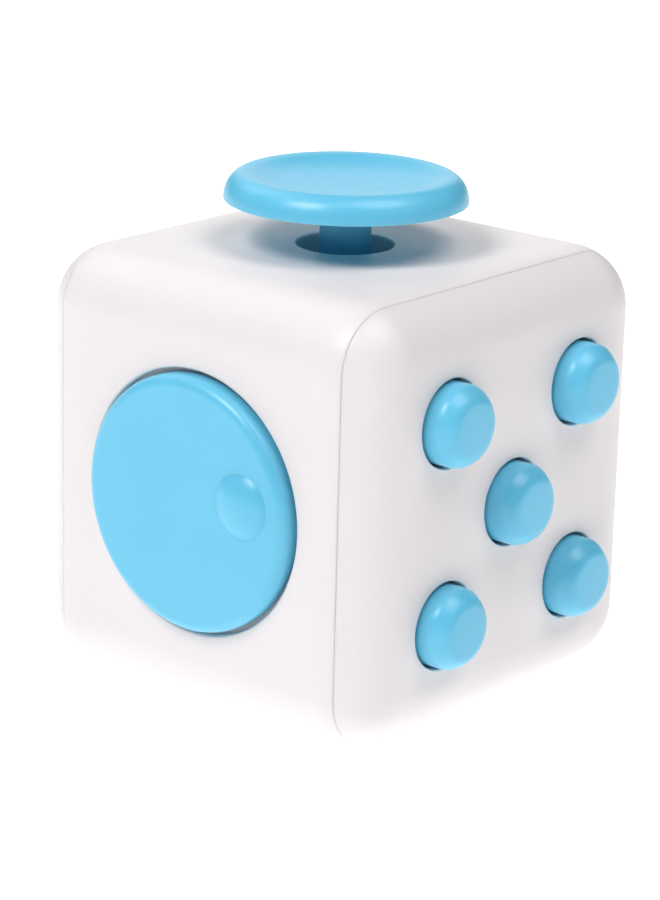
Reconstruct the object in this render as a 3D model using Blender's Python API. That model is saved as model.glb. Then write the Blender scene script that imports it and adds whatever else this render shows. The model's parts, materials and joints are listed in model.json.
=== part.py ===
"""A fidget cube: a 33 mm desk toy with a different control on each of its six faces.

+X click: five push buttons, three that snap and two that are silent.
-Y spin: a round dial with a nub for the fingertip.
+Z glide: a thumb stick that slides about its hole and springs back to the middle.
+Y flip: a two-position rocker switch.
-X roll: three toothed wheels on one axle, and a ball that rolls and clicks when it is pushed.
-Z breathe: an oval thumb dish, which is also the face that the cube stands on.

Run it with blender --background --python part.py, or from Blender's text editor.
Sizes are in millimetres, and each mesh is scaled to Blender's metres when it is made.
The origin is the middle of the base, and +Z is up.
"""

from math import asin, atan2, cos, degrees, pi, radians, sin, sqrt, tan

import bmesh
import bpy
from mathutils import Matrix, Vector

MM = 0.001

# Casing
BODY = 33.0
HALF = BODY / 2
EDGE_RADIUS = 4.7
WALL = 2.0
INSIDE = HALF - WALL
COVER_DEPTH = 3.0
SEAM_GAP = 0.15
CORNER_BLOCK = 10.8
PEG_OFFSET = 12.6
PEG_RADIUS = 0.95
PEG_LENGTH = 3.6
PEG_CLEARANCE = 0.15
TAB_WIDTH = 9.0
TAB_THICKNESS = 0.9
TAB_LENGTH = 1.5
TAB_CLEARANCE = 0.2

# Clearances: between pieces that touch on the real cube, and round pieces that move
TOUCH = 0.15
HOLE_CHAMFER = 0.15
OVERCUT = 1.0

# Click side
BUTTON_PITCH = 7.58
BUTTON_RADIUS = 3.05
BUTTON_HOLE_RADIUS = 3.35
BUTTON_RISE = 2.25
BUTTON_SHOULDER = 1.05
BUTTON_FLAT_RADIUS = 2.05
BUTTON_FLANGE_RADIUS = 3.7
BUTTON_FLANGE_THICKNESS = 0.8
BUTTON_STUB_RADIUS = 1.1
BUTTON_STUB_END = -3.9
CLICK_PLATE_TOP = -5.05
CLICK_PLATE_THICKNESS = 1.2
CLICK_PLATE_HALF = 10.6
CLICK_PLATE_CORNER = 3.5
CLICK_BOSS_OFFSET = 9.4
BOSS_RADIUS = 1.6
DOME_RADIUS = 2.6
DOME_HEIGHT = 0.95
DOME_THICKNESS = 0.2
SILENT_SPRING_RADIUS = 1.75
SILENT_WIRE = 0.3
BUTTONS = {
    "center": (0, 0),
    "upper_left": (-1, 1),
    "upper_right": (1, 1),
    "lower_left": (-1, -1),
    "lower_right": (1, -1),
}
SNAPPING = ("center", "upper_left", "lower_right")

# Glide side
STICK_HOLE_RADIUS = 3.66
STEM_RADIUS = 1.95
STEM_END = -2.1
CAP_RIM_RADIUS = 9.15
CAP_RIM_HEIGHT = 3.4
CAP_CREST_RADIUS = 7.6
CAP_CREST_HEIGHT = 5.35
CAP_DISH_RADIUS = 7.0
CAP_DISH_HEIGHT = 4.5
CAP_HOLLOW = 0.4
FLANGE_RADIUS = 5.7
FLANGE_TOP = -2.25
FLANGE_THICKNESS = 0.9
SLIP_WASHER_INNER = 3.1
SLIP_WASHER_OUTER = 5.2
SLIP_WASHER_THICKNESS = 0.35
SEAT_TOP = -8.5
SEAT_THICKNESS = 1.0
SEAT_RADIUS = 7.0
SEAT_EAR_RADIUS = 1.9
SEAT_REACH = 9.2
SEAT_ANGLE = 60.0
CONE_SPRING_TOP_RADIUS = 3.5
CONE_SPRING_BOTTOM_RADIUS = 6.3
CONE_WIRE = 0.4

# Spin side
DIAL_RADIUS = 9.6
DIAL_RISE = 1.1
DIAL_EDGE = 1.0
RECESS_RADIUS = 9.95
RECESS_DEPTH = 0.8
NUB_PLACE = (5.6, 1.2)
NUB_RADIUS = 2.5
NUB_RISE = 0.8
HUB_RADIUS = 2.2
HUB_BORE_RADIUS = 2.35
HUB_END = -3.05
RETAINER_RADIUS = 5.2
RETAINER_TOP = -3.2
RETAINER_THICKNESS = 1.0
WAVE_INNER = 2.5
WAVE_OUTER = 4.3
WAVE_THICKNESS = 0.25
WAVE_MIDDLE = -2.6
WAVE_SWING = 0.33
WAVE_COUNT = 3

# Flip side
THROW = 7.0
PIVOT_DEPTH = -3.2
ROCKER_END_RADIUS = 7.7
ROCKER_SLOT_RADIUS = 7.9
ROCKER_HALF_WIDTH = 4.3
ROCKER_SLOT_HALF_WIDTH = 4.55
ROCKER_VALLEY = -0.2
PIN_RADIUS = 0.9
PIN_HOLE_RADIUS = 1.05
PIN_HALF_LENGTH = 6.2
EAR_INNER = 4.75
EAR_OUTER = 6.4
EAR_HALF_HEIGHT = 2.3
EAR_DEPTH = -5.0
NOSE_REACH = 3.2
LEAF_TOP = -6.75
LEAF_THICKNESS = 0.3
LEAF_HALF_WIDTH = 2.0
LEAF_HALF_LENGTH = 11.6
LEAF_CREST = 0.2
LEAF_CREST_HALF = 2.0
LEAF_BOSS_OFFSET = 10.2
LEAF_BOSS_HALF = 1.5

# Roll side
GEAR_DEPTH = -3.2
GEAR_HEIGHT = -5.5
GEAR_TIP_RADIUS = 4.9
GEAR_ROOT_RADIUS = 4.15
GEAR_TEETH = 14
GEAR_WIDTH = 3.8
GEAR_PITCH = 4.6
GEAR_BORE_RADIUS = 1.0
GEAR_SLOT_RADIUS = 5.15
GEAR_SLOT_WIDTH = 4.2
AXLE_RADIUS = 0.85
AXLE_HALF_LENGTH = 8.7
AXLE_EAR_INNER = 7.2
AXLE_EAR_OUTER = 8.9
AXLE_EAR_HALF_HEIGHT = 1.9
AXLE_EAR_DEPTH = -4.9
BALL_RADIUS = 3.5
BALL_DEPTH = -1.6
BALL_HEIGHT = 6.5
BALL_SOCKET_RADIUS = 3.65
CUP_RADIUS = 3.75
CUP_RIM = -3.4
CUP_BOTTOM = -6.0
CUP_STUB_RADIUS = 0.9
CUP_STUB_END = -6.5
ROLL_PLATE_TOP = -7.65
ROLL_PLATE_THICKNESS = 1.2
SLEEVE_INNER = 3.95
SLEEVE_OUTER = 4.7
SLEEVE_TOP = -4.4
ROLL_BOSS_OFFSET = 7.6
ROLL_PLATE_HALF_WIDTH = 9.6
ROLL_PLATE_HALF_HEIGHT = 5.0

# Breathe side
DISH_HALF_LENGTH = 10.5
DISH_HALF_WIDTH = 8.5
DISH_DEPTH = 2.2
DISH_FLOOR = 1.6

# Screws: head radius, head height, shank radius, shank length
SMALL_SCREW = (1.4, 0.8, 0.6, 3.6)
STICK_SCREW = (1.6, 0.8, 0.8, 3.6)
LEAF_SCREW = (1.05, 0.6, 0.45, 2.6)
PILOT_CLEARANCE = 0.15

# Facets
ROUND_STEPS = 40
MEDIUM_STEPS = 24
SMALL_STEPS = 18
TINY_STEPS = 10
COIL_STEPS = 10
DOME_STEPS = 4
CAP_STEPS = 6
EDGE_SEGMENTS = 4
SHARP_ANGLE = radians(35)

# Turns a shape made about Z so that its axis runs across a face, with X up the face and Y out of it
ACROSS = Matrix(((0, 0, 1), (1, 0, 0), (0, 1, 0)))


def clear_scene():
    for obj in list(bpy.data.objects):
        bpy.data.objects.remove(obj)


def linear(level):
    """A display colour level from 0 to 255 as scene-linear light."""
    share = level / 255
    return share / 12.92 if share <= 0.04045 else ((share + 0.055) / 1.055) ** 2.4


def make_material(name, display_color, roughness, metallic=0.0):
    material = bpy.data.materials.new(name)
    material.use_nodes = True
    shader = material.node_tree.nodes["Principled BSDF"]
    shader.inputs["Base Color"].default_value = (*map(linear, display_color), 1.0)
    shader.inputs["Roughness"].default_value = roughness
    shader.inputs["Metallic"].default_value = metallic
    return material


def face_frame(name, outward, up):
    """An empty at the middle of a face. Its X runs right and its Y up as the face is looked at, and its Z out."""
    outward = Vector(outward)
    up = Vector(up)
    axes = Matrix((up.cross(outward), up, outward)).transposed()
    middle = Vector((0, 0, HALF)) + outward * HALF
    frame = bpy.data.objects.new(name, None)
    frame.empty_display_size = 4 * MM
    frame.matrix_world = Matrix.Translation(middle * MM) @ axes.to_4x4()
    bpy.context.collection.objects.link(frame)
    return frame


def arc(centre, radius, start, end, steps):
    """Points along a round stretch, between two angles in degrees."""
    angles = [radians(start + (end - start) * step / steps) for step in range(steps + 1)]
    return [(centre[0] + radius * cos(angle), centre[1] + radius * sin(angle)) for angle in angles]


def circle(radius, steps, centre=(0.0, 0.0)):
    return arc(centre, radius, 0, 360, steps)[:-1]


def rounded_rectangle(half_width, half_height, radius, centre=(0.0, 0.0), steps=4):
    points = []
    corners = ((1, 1, 0), (-1, 1, 90), (-1, -1, 180), (1, -1, 270))
    for side, level, start in corners:
        middle = (
            centre[0] + side * (half_width - radius),
            centre[1] + level * (half_height - radius),
        )
        points += arc(middle, radius, start, start + 90, steps)
    return points


def turned(profile, steps, ring=False):
    """A solid turned about Z from (radius, height) points. A ring's last point joins its first."""
    shape = bmesh.new()
    points = [shape.verts.new((radius, 0.0, height)) for radius, height in profile]
    edges = [shape.edges.new(pair) for pair in zip(points, points[1:])]
    if ring:
        edges.append(shape.edges.new((points[-1], points[0])))
    bmesh.ops.spin(
        shape, geom=points + edges, axis=(0, 0, 1), angle=2 * pi, steps=steps, use_merge=True
    )
    bmesh.ops.remove_doubles(shape, verts=shape.verts, dist=0.0001)
    return shape


def prism(outline, low, high):
    """A solid between two heights, whose outline is a list of (x, y) points."""
    shape = bmesh.new()
    base = shape.faces.new([shape.verts.new((x, y, low)) for x, y in outline])
    extruded = bmesh.ops.extrude_face_region(shape, geom=[base], use_keep_orig=True)
    top = [item for item in extruded["geom"] if isinstance(item, bmesh.types.BMVert)]
    bmesh.ops.translate(shape, verts=top, vec=(0, 0, high - low))
    return shape


def cylinder(radius, low, high, steps):
    return prism(circle(radius, steps), low, high)


def block(low, high):
    """A plain block between two opposite corners."""
    low, high = Vector(low), Vector(high)
    shape = bmesh.new()
    bmesh.ops.create_cube(shape, size=1.0)
    bmesh.ops.scale(shape, vec=high - low, verts=shape.verts)
    bmesh.ops.translate(shape, vec=(low + high) / 2, verts=shape.verts)
    return shape


def rounded_cube():
    shape = block((-HALF, -HALF, 0), (HALF, HALF, BODY))
    bmesh.ops.bevel(
        shape,
        geom=shape.edges[:],
        offset=EDGE_RADIUS,
        segments=EDGE_SEGMENTS,
        profile=0.5,
        affect="EDGES",
    )
    return shape


def add(name, shape, material=None, parent=None, place=(0, 0, 0), rotation=None):
    """Makes an object of a shape in millimetres. place is where its origin lies in its parent's frame."""
    bmesh.ops.recalc_face_normals(shape, faces=shape.faces)
    bmesh.ops.scale(shape, vec=(MM, MM, MM), verts=shape.verts)
    mesh = bpy.data.meshes.new(name)
    shape.to_mesh(mesh)
    shape.free()
    mesh.shade_smooth()
    mesh.set_sharp_from_angle(angle=SHARP_ANGLE)
    if material:
        mesh.materials.append(material)
    obj = bpy.data.objects.new(name, mesh)
    obj.parent = parent
    obj.location = Vector(place) * MM
    if rotation:
        obj.rotation_euler = rotation.to_euler()
    bpy.context.collection.objects.link(obj)
    return obj


def combine(obj, operation, helper):
    """Joins, cuts or intersects obj with a helper, which isn't a piece of its own."""
    modifier = obj.modifiers.new(helper.name, "BOOLEAN")
    modifier.operation = operation
    modifier.object = helper
    helper.hide_render = True
    helper.display_type = "WIRE"


def join(obj, name, shape, parent=None, place=(0, 0, 0), rotation=None):
    combine(obj, "UNION", add(name, shape, None, parent, place, rotation))


def cut(obj, name, shape, parent=None, place=(0, 0, 0), rotation=None):
    combine(obj, "DIFFERENCE", add(name, shape, None, parent, place, rotation))


def add_screw(name, size, material, parent, place):
    """A pan-head screw that points out of its face. Its origin is where the head meets what it holds."""
    head_radius, head_height, shank_radius, length = size
    profile = [
        (0, -head_height),
        (head_radius * 0.65, -head_height),
        (head_radius, -head_height * 0.45),
        (head_radius, 0),
        (shank_radius, 0),
        (shank_radius, length - shank_radius),
        (0, length),
    ]
    return add(name, turned(profile, TINY_STEPS), material, parent, place)


def add_coil(name, material, parent, place, wire, turns, low, high):
    """A wire coil about Z between two (radius, height) ends."""
    steps = turns * COIL_STEPS
    curve = bpy.data.curves.new(name, "CURVE")
    curve.dimensions = "3D"
    curve.bevel_depth = wire / 2 * MM
    curve.bevel_resolution = 1
    curve.use_fill_caps = True
    spline = curve.splines.new("POLY")
    spline.points.add(steps)
    for step, point in enumerate(spline.points):
        share = step / steps
        angle = 2 * pi * turns * share
        radius = low[0] + (high[0] - low[0]) * share
        height = low[1] + (high[1] - low[1]) * share
        point.co = (radius * cos(angle) * MM, radius * sin(angle) * MM, height * MM, 1)
    curve.materials.append(material)
    obj = bpy.data.objects.new(name, curve)
    obj.parent = parent
    obj.location = Vector(place) * MM
    bpy.context.collection.objects.link(obj)
    return obj


def dome_shape(base):
    """A snap dome whose rim stands at height base."""
    angles = [pi / 2 * step / DOME_STEPS for step in range(DOME_STEPS + 1)]
    inner_radius = DOME_RADIUS - DOME_THICKNESS
    inner_height = DOME_HEIGHT - DOME_THICKNESS
    outer = [(DOME_RADIUS * sin(a), base + DOME_HEIGHT * cos(a)) for a in angles]
    inner = [(inner_radius * sin(a), base + inner_height * cos(a)) for a in reversed(angles)]
    return turned(outer + inner, SMALL_STEPS)


def casing_part(name, material, low, high):
    """The stretch of the rounded cube between two places along X, as a solid."""
    part = add(name, rounded_cube(), material)
    reach = BODY
    slab = block((low, -reach, -reach), (high, reach, 2 * reach))
    combine(part, "INTERSECT", add(name + "_slab", slab))
    return part


def cavity_shape(low, high):
    """The hollow inside the casing along Z, which leaves a solid block in each of its four corners."""
    outline = []
    for side, level in ((1, 1), (-1, 1), (-1, -1), (1, -1)):
        steps = [(INSIDE, CORNER_BLOCK), (CORNER_BLOCK, CORNER_BLOCK), (CORNER_BLOCK, INSIDE)]
        if side * level < 0:
            steps.reverse()
        outline += [(side * x, level * y) for x, y in steps]
    return prism(outline, low, high)


def corner_places(offset):
    return [(x * offset, y * offset) for x in (-1, 1) for y in (-1, 1)]


def build_cover(name, material, frame, low, high):
    """An end cover: its wall and rim, with pegs and locating tabs that enter the main housing."""
    cover = casing_part(name, material, low, high)
    cut(cover, name + "_hollow", cavity_shape(-COVER_DEPTH - OVERCUT, -WALL), frame)
    rim = -COVER_DEPTH
    for number, (x, y) in enumerate(corner_places(PEG_OFFSET), 1):
        peg = [
            (0, rim - PEG_LENGTH),
            (PEG_RADIUS * 0.6, rim - PEG_LENGTH),
            (PEG_RADIUS, rim - PEG_LENGTH + 0.4),
            (PEG_RADIUS, rim + OVERCUT),
            (0, rim + OVERCUT),
        ]
        join(cover, f"{name}_peg_{number}", turned(peg, TINY_STEPS), frame, (x, y, 0))
    outer = INSIDE - TAB_CLEARANCE
    tab = block(
        (-TAB_WIDTH / 2, outer - TAB_THICKNESS, rim - TAB_LENGTH),
        (TAB_WIDTH / 2, outer, -WALL + OVERCUT),
    )
    for number in range(4):
        turn = Matrix.Rotation(number * pi / 2, 3, "Z")
        join(cover, f"{name}_tab_{number + 1}", tab.copy(), frame, rotation=turn)
    tab.free()
    return cover


def add_bosses(part, name, frame, places, top, end, pilot_radius, pilot_depth):
    """Round bosses under a wall, each with a blind pilot hole for a screw."""
    for number, (x, y) in enumerate(places, 1):
        boss = cylinder(BOSS_RADIUS, end, top, SMALL_STEPS)
        pilot = cylinder(pilot_radius, end - OVERCUT, end + pilot_depth, TINY_STEPS)
        join(part, f"{name}_boss_{number}", boss, frame, (x, y, 0))
        cut(part, f"{name}_pilot_{number}", pilot, frame, (x, y, 0))


def chamfered_hole(radius):
    """A cutter for a hole right through a wall, with its outer edge broken."""
    profile = [
        (0, -WALL - OVERCUT),
        (radius, -WALL - OVERCUT),
        (radius, -HOLE_CHAMFER),
        (radius + HOLE_CHAMFER + 0.1, 0.1),
        (0, 0.1),
    ]
    return turned(profile, MEDIUM_STEPS)


def cap_shape(radius, height, rim_height):
    """A shallow round cap that peaks at height on the axis and meets rim_height at its radius."""
    curve = []
    for step in range(CAP_STEPS + 1):
        share = step / CAP_STEPS
        curve.append((radius * share, rim_height + (height - rim_height) * (1 - share * share)))
    return curve


def build_main_housing(materials, frames):
    plastic = materials["housing_plastic"]
    end = HALF - COVER_DEPTH - SEAM_GAP / 2
    housing = casing_part("main_housing", plastic, -end, end)
    hollow = cavity_shape(-BODY - OVERCUT, OVERCUT)
    cut(housing, "housing_hollow", hollow, frames["click"])
    socket_end = -COVER_DEPTH - PEG_LENGTH - 0.4
    for side in ("click", "roll"):
        for number, (x, y) in enumerate(corner_places(PEG_OFFSET), 1):
            socket = cylinder(PEG_RADIUS + PEG_CLEARANCE, socket_end, 0, TINY_STEPS)
            cut(housing, f"{side}_socket_{number}", socket, frames[side], (x, y, 0))
    shape_glide_wall(housing, frames["glide"])
    shape_spin_wall(housing, frames["spin"])
    shape_flip_wall(housing, frames["flip"])
    shape_breathe_wall(housing, frames["breathe"])


def seat_boss_places():
    angle = radians(SEAT_ANGLE)
    x, y = SEAT_REACH * cos(angle), SEAT_REACH * sin(angle)
    return [(x, y), (-x, -y)]


def shape_glide_wall(housing, frame):
    cut(housing, "stick_hole", chamfered_hole(STICK_HOLE_RADIUS), frame)
    end = SEAT_TOP + TOUCH
    pilot_radius = SMALL_SCREW[2] + PILOT_CLEARANCE
    add_bosses(
        housing, "seat", frame, seat_boss_places(), -WALL + OVERCUT, end, pilot_radius, SMALL_SCREW[3]
    )


def shape_spin_wall(housing, frame):
    recess = cylinder(RECESS_RADIUS, -RECESS_DEPTH, OVERCUT, ROUND_STEPS)
    bore = cylinder(HUB_BORE_RADIUS, -WALL - OVERCUT, OVERCUT, SMALL_STEPS)
    cut(housing, "dial_recess", recess, frame)
    cut(housing, "hub_bore", bore, frame)


def shape_flip_wall(housing, frame):
    pivot = (0, 0, PIVOT_DEPTH)
    half_width = ROCKER_SLOT_HALF_WIDTH
    slot = cylinder(ROCKER_SLOT_RADIUS, -half_width, half_width, ROUND_STEPS)
    cut(housing, "rocker_slot", slot, frame, pivot, ACROSS)
    for side, name in ((-1, "left"), (1, "right")):
        inner, outer = sorted((side * EAR_INNER, side * EAR_OUTER))
        ear = block(
            (inner, -EAR_HALF_HEIGHT, EAR_DEPTH), (outer, EAR_HALF_HEIGHT, -WALL + OVERCUT)
        )
        join(housing, f"pin_ear_{name}", ear, frame)
    reach = EAR_OUTER + OVERCUT
    cut(housing, "pin_holes", cylinder(PIN_RADIUS + 0.1, -reach, reach, SMALL_STEPS), frame, pivot, ACROSS)
    end = LEAF_TOP + TOUCH
    half = LEAF_BOSS_HALF
    pilot_radius = LEAF_SCREW[2] + PILOT_CLEARANCE
    for side, name in ((-1, "lower"), (1, "upper")):
        middle = side * LEAF_BOSS_OFFSET
        post = block((-half, middle - half, end), (half, middle + half, -WALL + OVERCUT))
        pilot = cylinder(pilot_radius, end - OVERCUT, end + LEAF_SCREW[3], TINY_STEPS)
        join(housing, f"leaf_post_{name}", post, frame)
        cut(housing, f"leaf_pilot_{name}", pilot, frame, (0, middle, 0))


def oval(shape, ratio):
    bmesh.ops.scale(shape, vec=(1, ratio, 1), verts=shape.verts)
    return shape


def shape_breathe_wall(housing, frame):
    """The wall is thickened behind the thumb dish, so that its floor is as strong as the rest."""
    ratio = DISH_HALF_WIDTH / DISH_HALF_LENGTH
    backing = cap_shape(DISH_HALF_LENGTH, -DISH_DEPTH - DISH_FLOOR, -WALL + 0.2)
    backing.append((0, -WALL + 0.2))
    join(housing, "dish_backing", oval(turned(backing, MEDIUM_STEPS), ratio), frame)
    edge_slope = 2 * DISH_DEPTH / DISH_HALF_LENGTH
    dish = cap_shape(DISH_HALF_LENGTH, -DISH_DEPTH, 0)
    dish.append((DISH_HALF_LENGTH + 0.5, 0.5 * edge_slope))
    dish.append((0, 0.5 * edge_slope))
    cut(housing, "thumb_dish", oval(turned(dish, MEDIUM_STEPS), ratio), frame)


def build_click_side(materials, frame):
    plastic = materials["housing_plastic"]
    high = HALF + OVERCUT
    cover = build_cover("click_cover", plastic, frame, HALF - COVER_DEPTH + SEAM_GAP / 2, high)
    for name, (column, row) in BUTTONS.items():
        place = (column * BUTTON_PITCH, row * BUTTON_PITCH, 0)
        cut(cover, f"button_hole_{name}", chamfered_hole(BUTTON_HOLE_RADIUS), frame, place)
        build_button(name, place, materials, frame)
    offset = CLICK_BOSS_OFFSET
    places = [(0, offset), (0, -offset), (offset, 0), (-offset, 0)]
    pilot_radius = SMALL_SCREW[2] + PILOT_CLEARANCE
    end = CLICK_PLATE_TOP + TOUCH
    add_bosses(cover, "click", frame, places, -WALL + 0.5, end, pilot_radius, 2.9)
    build_click_carrier(materials, frame, places)


def build_button(name, place, materials, frame):
    """A button in its cover, with the snap dome or the coil spring that sends it back."""
    flange_top = -WALL - TOUCH
    flange_end = flange_top - BUTTON_FLANGE_THICKNESS
    shoulder = BUTTON_RISE - BUTTON_SHOULDER
    profile = [
        (0, BUTTON_RISE),
        (BUTTON_FLAT_RADIUS - 0.15, BUTTON_RISE),
        (BUTTON_FLAT_RADIUS + 0.1, BUTTON_RISE - 0.1),
        (BUTTON_RADIUS - 0.2, shoulder + 0.25),
        (BUTTON_RADIUS, shoulder - 0.3),
        (BUTTON_RADIUS, flange_top),
        (BUTTON_FLANGE_RADIUS, flange_top),
        (BUTTON_FLANGE_RADIUS, flange_end),
        (BUTTON_STUB_RADIUS, flange_end),
        (BUTTON_STUB_RADIUS, BUTTON_STUB_END),
        (0, BUTTON_STUB_END),
    ]
    button = turned(profile, SMALL_STEPS)
    add(f"button_{name}", button, materials["control_plastic"], frame, place)
    if name in SNAPPING:
        dome = dome_shape(CLICK_PLATE_TOP + 0.05)
        add(f"snap_dome_{name}", dome, materials["spring_steel"], frame, place)
        return
    margin = SILENT_WIRE / 2 + 0.1
    low = (SILENT_SPRING_RADIUS, CLICK_PLATE_TOP + margin)
    high = (SILENT_SPRING_RADIUS, flange_end - margin)
    steel = materials["spring_steel"]
    add_coil(f"silent_spring_{name}", steel, frame, place, SILENT_WIRE, 3, low, high)


def build_click_carrier(materials, frame, places):
    end = CLICK_PLATE_TOP - CLICK_PLATE_THICKNESS
    outline = rounded_rectangle(CLICK_PLATE_HALF, CLICK_PLATE_HALF, CLICK_PLATE_CORNER)
    plate = prism(outline, end, CLICK_PLATE_TOP)
    carrier = add("click_carrier", plate, materials["inner_plastic"], frame)
    hole_radius = SMALL_SCREW[2] + PILOT_CLEARANCE
    for number, (x, y) in enumerate(places, 1):
        hole = cylinder(hole_radius, end - OVERCUT, CLICK_PLATE_TOP + OVERCUT, TINY_STEPS)
        cut(carrier, f"click_carrier_hole_{number}", hole, frame, (x, y, 0))
        place = (x, y, end - TOUCH)
        add_screw(f"click_screw_{number}", SMALL_SCREW, materials["screw_steel"], frame, place)


def stick_profile():
    """The stick's half section: down from the middle of its dish, round the cap, and down the stem."""
    dish_rim = CAP_CREST_HEIGHT - 0.12
    profile = []
    for step in range(6):
        share = 1 - (1 - step / 5) ** 1.5
        height = CAP_DISH_HEIGHT + (dish_rim - CAP_DISH_HEIGHT) * share**4
        profile.append((CAP_DISH_RADIUS * share, height))
    rise = CAP_CREST_HEIGHT - CAP_RIM_HEIGHT
    reach = CAP_RIM_RADIUS - CAP_CREST_RADIUS
    for step in range(7):
        angle = pi / 2 * step / 6
        profile.append((CAP_CREST_RADIUS + reach * sin(angle), CAP_RIM_HEIGHT + rise * cos(angle)))
    ceiling = CAP_RIM_HEIGHT + CAP_HOLLOW
    profile += [
        (CAP_RIM_RADIUS - 0.7, CAP_RIM_HEIGHT),
        (CAP_RIM_RADIUS - 1.3, ceiling),
        (STEM_RADIUS + 0.5, ceiling),
        (STEM_RADIUS, ceiling - 0.4),
        (STEM_RADIUS, STEM_END),
        (0, STEM_END),
    ]
    return profile


def build_glide_side(materials, frame):
    blue = materials["control_plastic"]
    steel = materials["screw_steel"]
    hole_radius = STICK_SCREW[2] + PILOT_CLEARANCE
    stick = add("joystick", turned(stick_profile(), ROUND_STEPS), blue, frame)
    pilot_end = STEM_END + STICK_SCREW[3]
    cut(stick, "stem_pilot", cylinder(hole_radius, STEM_END - OVERCUT, pilot_end, TINY_STEPS), frame)

    flange_end = FLANGE_TOP - FLANGE_THICKNESS
    flange = [
        (hole_radius, FLANGE_TOP),
        (FLANGE_RADIUS, FLANGE_TOP),
        (FLANGE_RADIUS, flange_end),
        (hole_radius, flange_end),
    ]
    add("joystick_flange", turned(flange, MEDIUM_STEPS, ring=True), blue, frame)
    add_screw("joystick_screw", STICK_SCREW, steel, frame, (0, 0, flange_end - TOUCH))

    washer_top = flange_end - TOUCH
    washer_end = washer_top - SLIP_WASHER_THICKNESS
    washer = [
        (SLIP_WASHER_INNER, washer_top),
        (SLIP_WASHER_OUTER, washer_top),
        (SLIP_WASHER_OUTER, washer_end),
        (SLIP_WASHER_INNER, washer_end),
    ]
    slip = turned(washer, MEDIUM_STEPS, ring=True)
    add("joystick_washer", slip, materials["inner_plastic"], frame)

    margin = CONE_WIRE / 2 + 0.1
    low = (CONE_SPRING_BOTTOM_RADIUS, SEAT_TOP + margin)
    high = (CONE_SPRING_TOP_RADIUS, washer_end - margin)
    spring_steel = materials["spring_steel"]
    add_coil("joystick_spring", spring_steel, frame, (0, 0, 0), CONE_WIRE, 4, low, high)
    build_spring_seat(materials, frame)


def build_spring_seat(materials, frame):
    """The plate under the spring, with two ears that screw to the bosses of the top wall."""
    end = SEAT_TOP - SEAT_THICKNESS
    plate = cylinder(SEAT_RADIUS, end, SEAT_TOP, MEDIUM_STEPS)
    seat = add("joystick_spring_seat", plate, materials["inner_plastic"], frame)
    ears = rounded_rectangle(SEAT_REACH + SEAT_EAR_RADIUS, SEAT_EAR_RADIUS, SEAT_EAR_RADIUS - 0.01)
    turn = Matrix.Rotation(radians(SEAT_ANGLE), 3, "Z")
    join(seat, "seat_ears", prism(ears, end, SEAT_TOP), frame, rotation=turn)
    hole_radius = SMALL_SCREW[2] + PILOT_CLEARANCE
    for number, (x, y) in enumerate(seat_boss_places(), 1):
        hole = cylinder(hole_radius, end - OVERCUT, SEAT_TOP + OVERCUT, TINY_STEPS)
        cut(seat, f"seat_hole_{number}", hole, frame, (x, y, 0))
        place = (x, y, end - TOUCH)
        add_screw(f"seat_screw_{number}", SMALL_SCREW, materials["screw_steel"], frame, place)


def build_spin_side(materials, frame):
    blue = materials["control_plastic"]
    back = -RECESS_DEPTH + TOUCH
    edge = DIAL_EDGE
    profile = [(0, DIAL_RISE)]
    profile += arc((DIAL_RADIUS - edge, DIAL_RISE - edge), edge, 90, 0, 4)
    profile += [(DIAL_RADIUS, back), (HUB_RADIUS, back), (HUB_RADIUS, HUB_END), (0, HUB_END)]
    dial = add("spin_dial", turned(profile, ROUND_STEPS), blue, frame)
    nub = cap_shape(NUB_RADIUS, DIAL_RISE + NUB_RISE, DIAL_RISE)[:-1]
    nub += [(NUB_RADIUS, DIAL_RISE - 0.02), (NUB_RADIUS, 0.3), (0, 0.3)]
    join(dial, "dial_nub", turned(nub, SMALL_STEPS), frame, (*NUB_PLACE, 0))
    hole_radius = SMALL_SCREW[2] + PILOT_CLEARANCE
    pilot = cylinder(hole_radius, HUB_END - OVERCUT, -0.6, TINY_STEPS)
    cut(dial, "hub_pilot", pilot, frame)

    retainer_end = RETAINER_TOP - RETAINER_THICKNESS
    retainer = [
        (hole_radius, RETAINER_TOP),
        (RETAINER_RADIUS, RETAINER_TOP),
        (RETAINER_RADIUS, retainer_end),
        (hole_radius, retainer_end),
    ]
    disc = turned(retainer, MEDIUM_STEPS, ring=True)
    add("dial_retainer", disc, materials["inner_plastic"], frame)
    place = (0, 0, retainer_end - TOUCH)
    add_screw("dial_screw", SMALL_SCREW, materials["screw_steel"], frame, place)

    wave = [
        (WAVE_INNER, WAVE_MIDDLE - WAVE_THICKNESS / 2),
        (WAVE_OUTER, WAVE_MIDDLE - WAVE_THICKNESS / 2),
        (WAVE_OUTER, WAVE_MIDDLE + WAVE_THICKNESS / 2),
        (WAVE_INNER, WAVE_MIDDLE + WAVE_THICKNESS / 2),
    ]
    washer = turned(wave, MEDIUM_STEPS, ring=True)
    for point in washer.verts:
        point.co.z += WAVE_SWING * cos(WAVE_COUNT * atan2(point.co.y, point.co.x))
    add("dial_wave_washer", washer, materials["spring_steel"], frame)


def rocker_outline():
    """The rocker's side view, with its pivot at the origin, X up the face and Y out of it.

    Its face is a shallow V and its ends are round about the pivot. The nose under it crosses the leaf spring.
    """
    slope = tan(radians(THROW))
    valley = ROCKER_VALLEY - PIVOT_DEPTH
    radius = ROCKER_END_RADIUS
    steepness = 1 + slope * slope
    corner = (sqrt(radius**2 * steepness - valley**2) - valley * slope) / steepness
    top = degrees(atan2(valley + slope * corner, corner))
    skirt = degrees(asin(-0.6 / radius))
    half = arc((0, 0), radius, top, skirt, 6)
    half += [(2.9, -0.6), (2.2, -1.9), (0.75, -1.9), (0.4, -NOSE_REACH + 0.25), (0.15, -NOSE_REACH)]
    return [(0, valley)] + half + [(-x, y) for x, y in reversed(half)]


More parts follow.
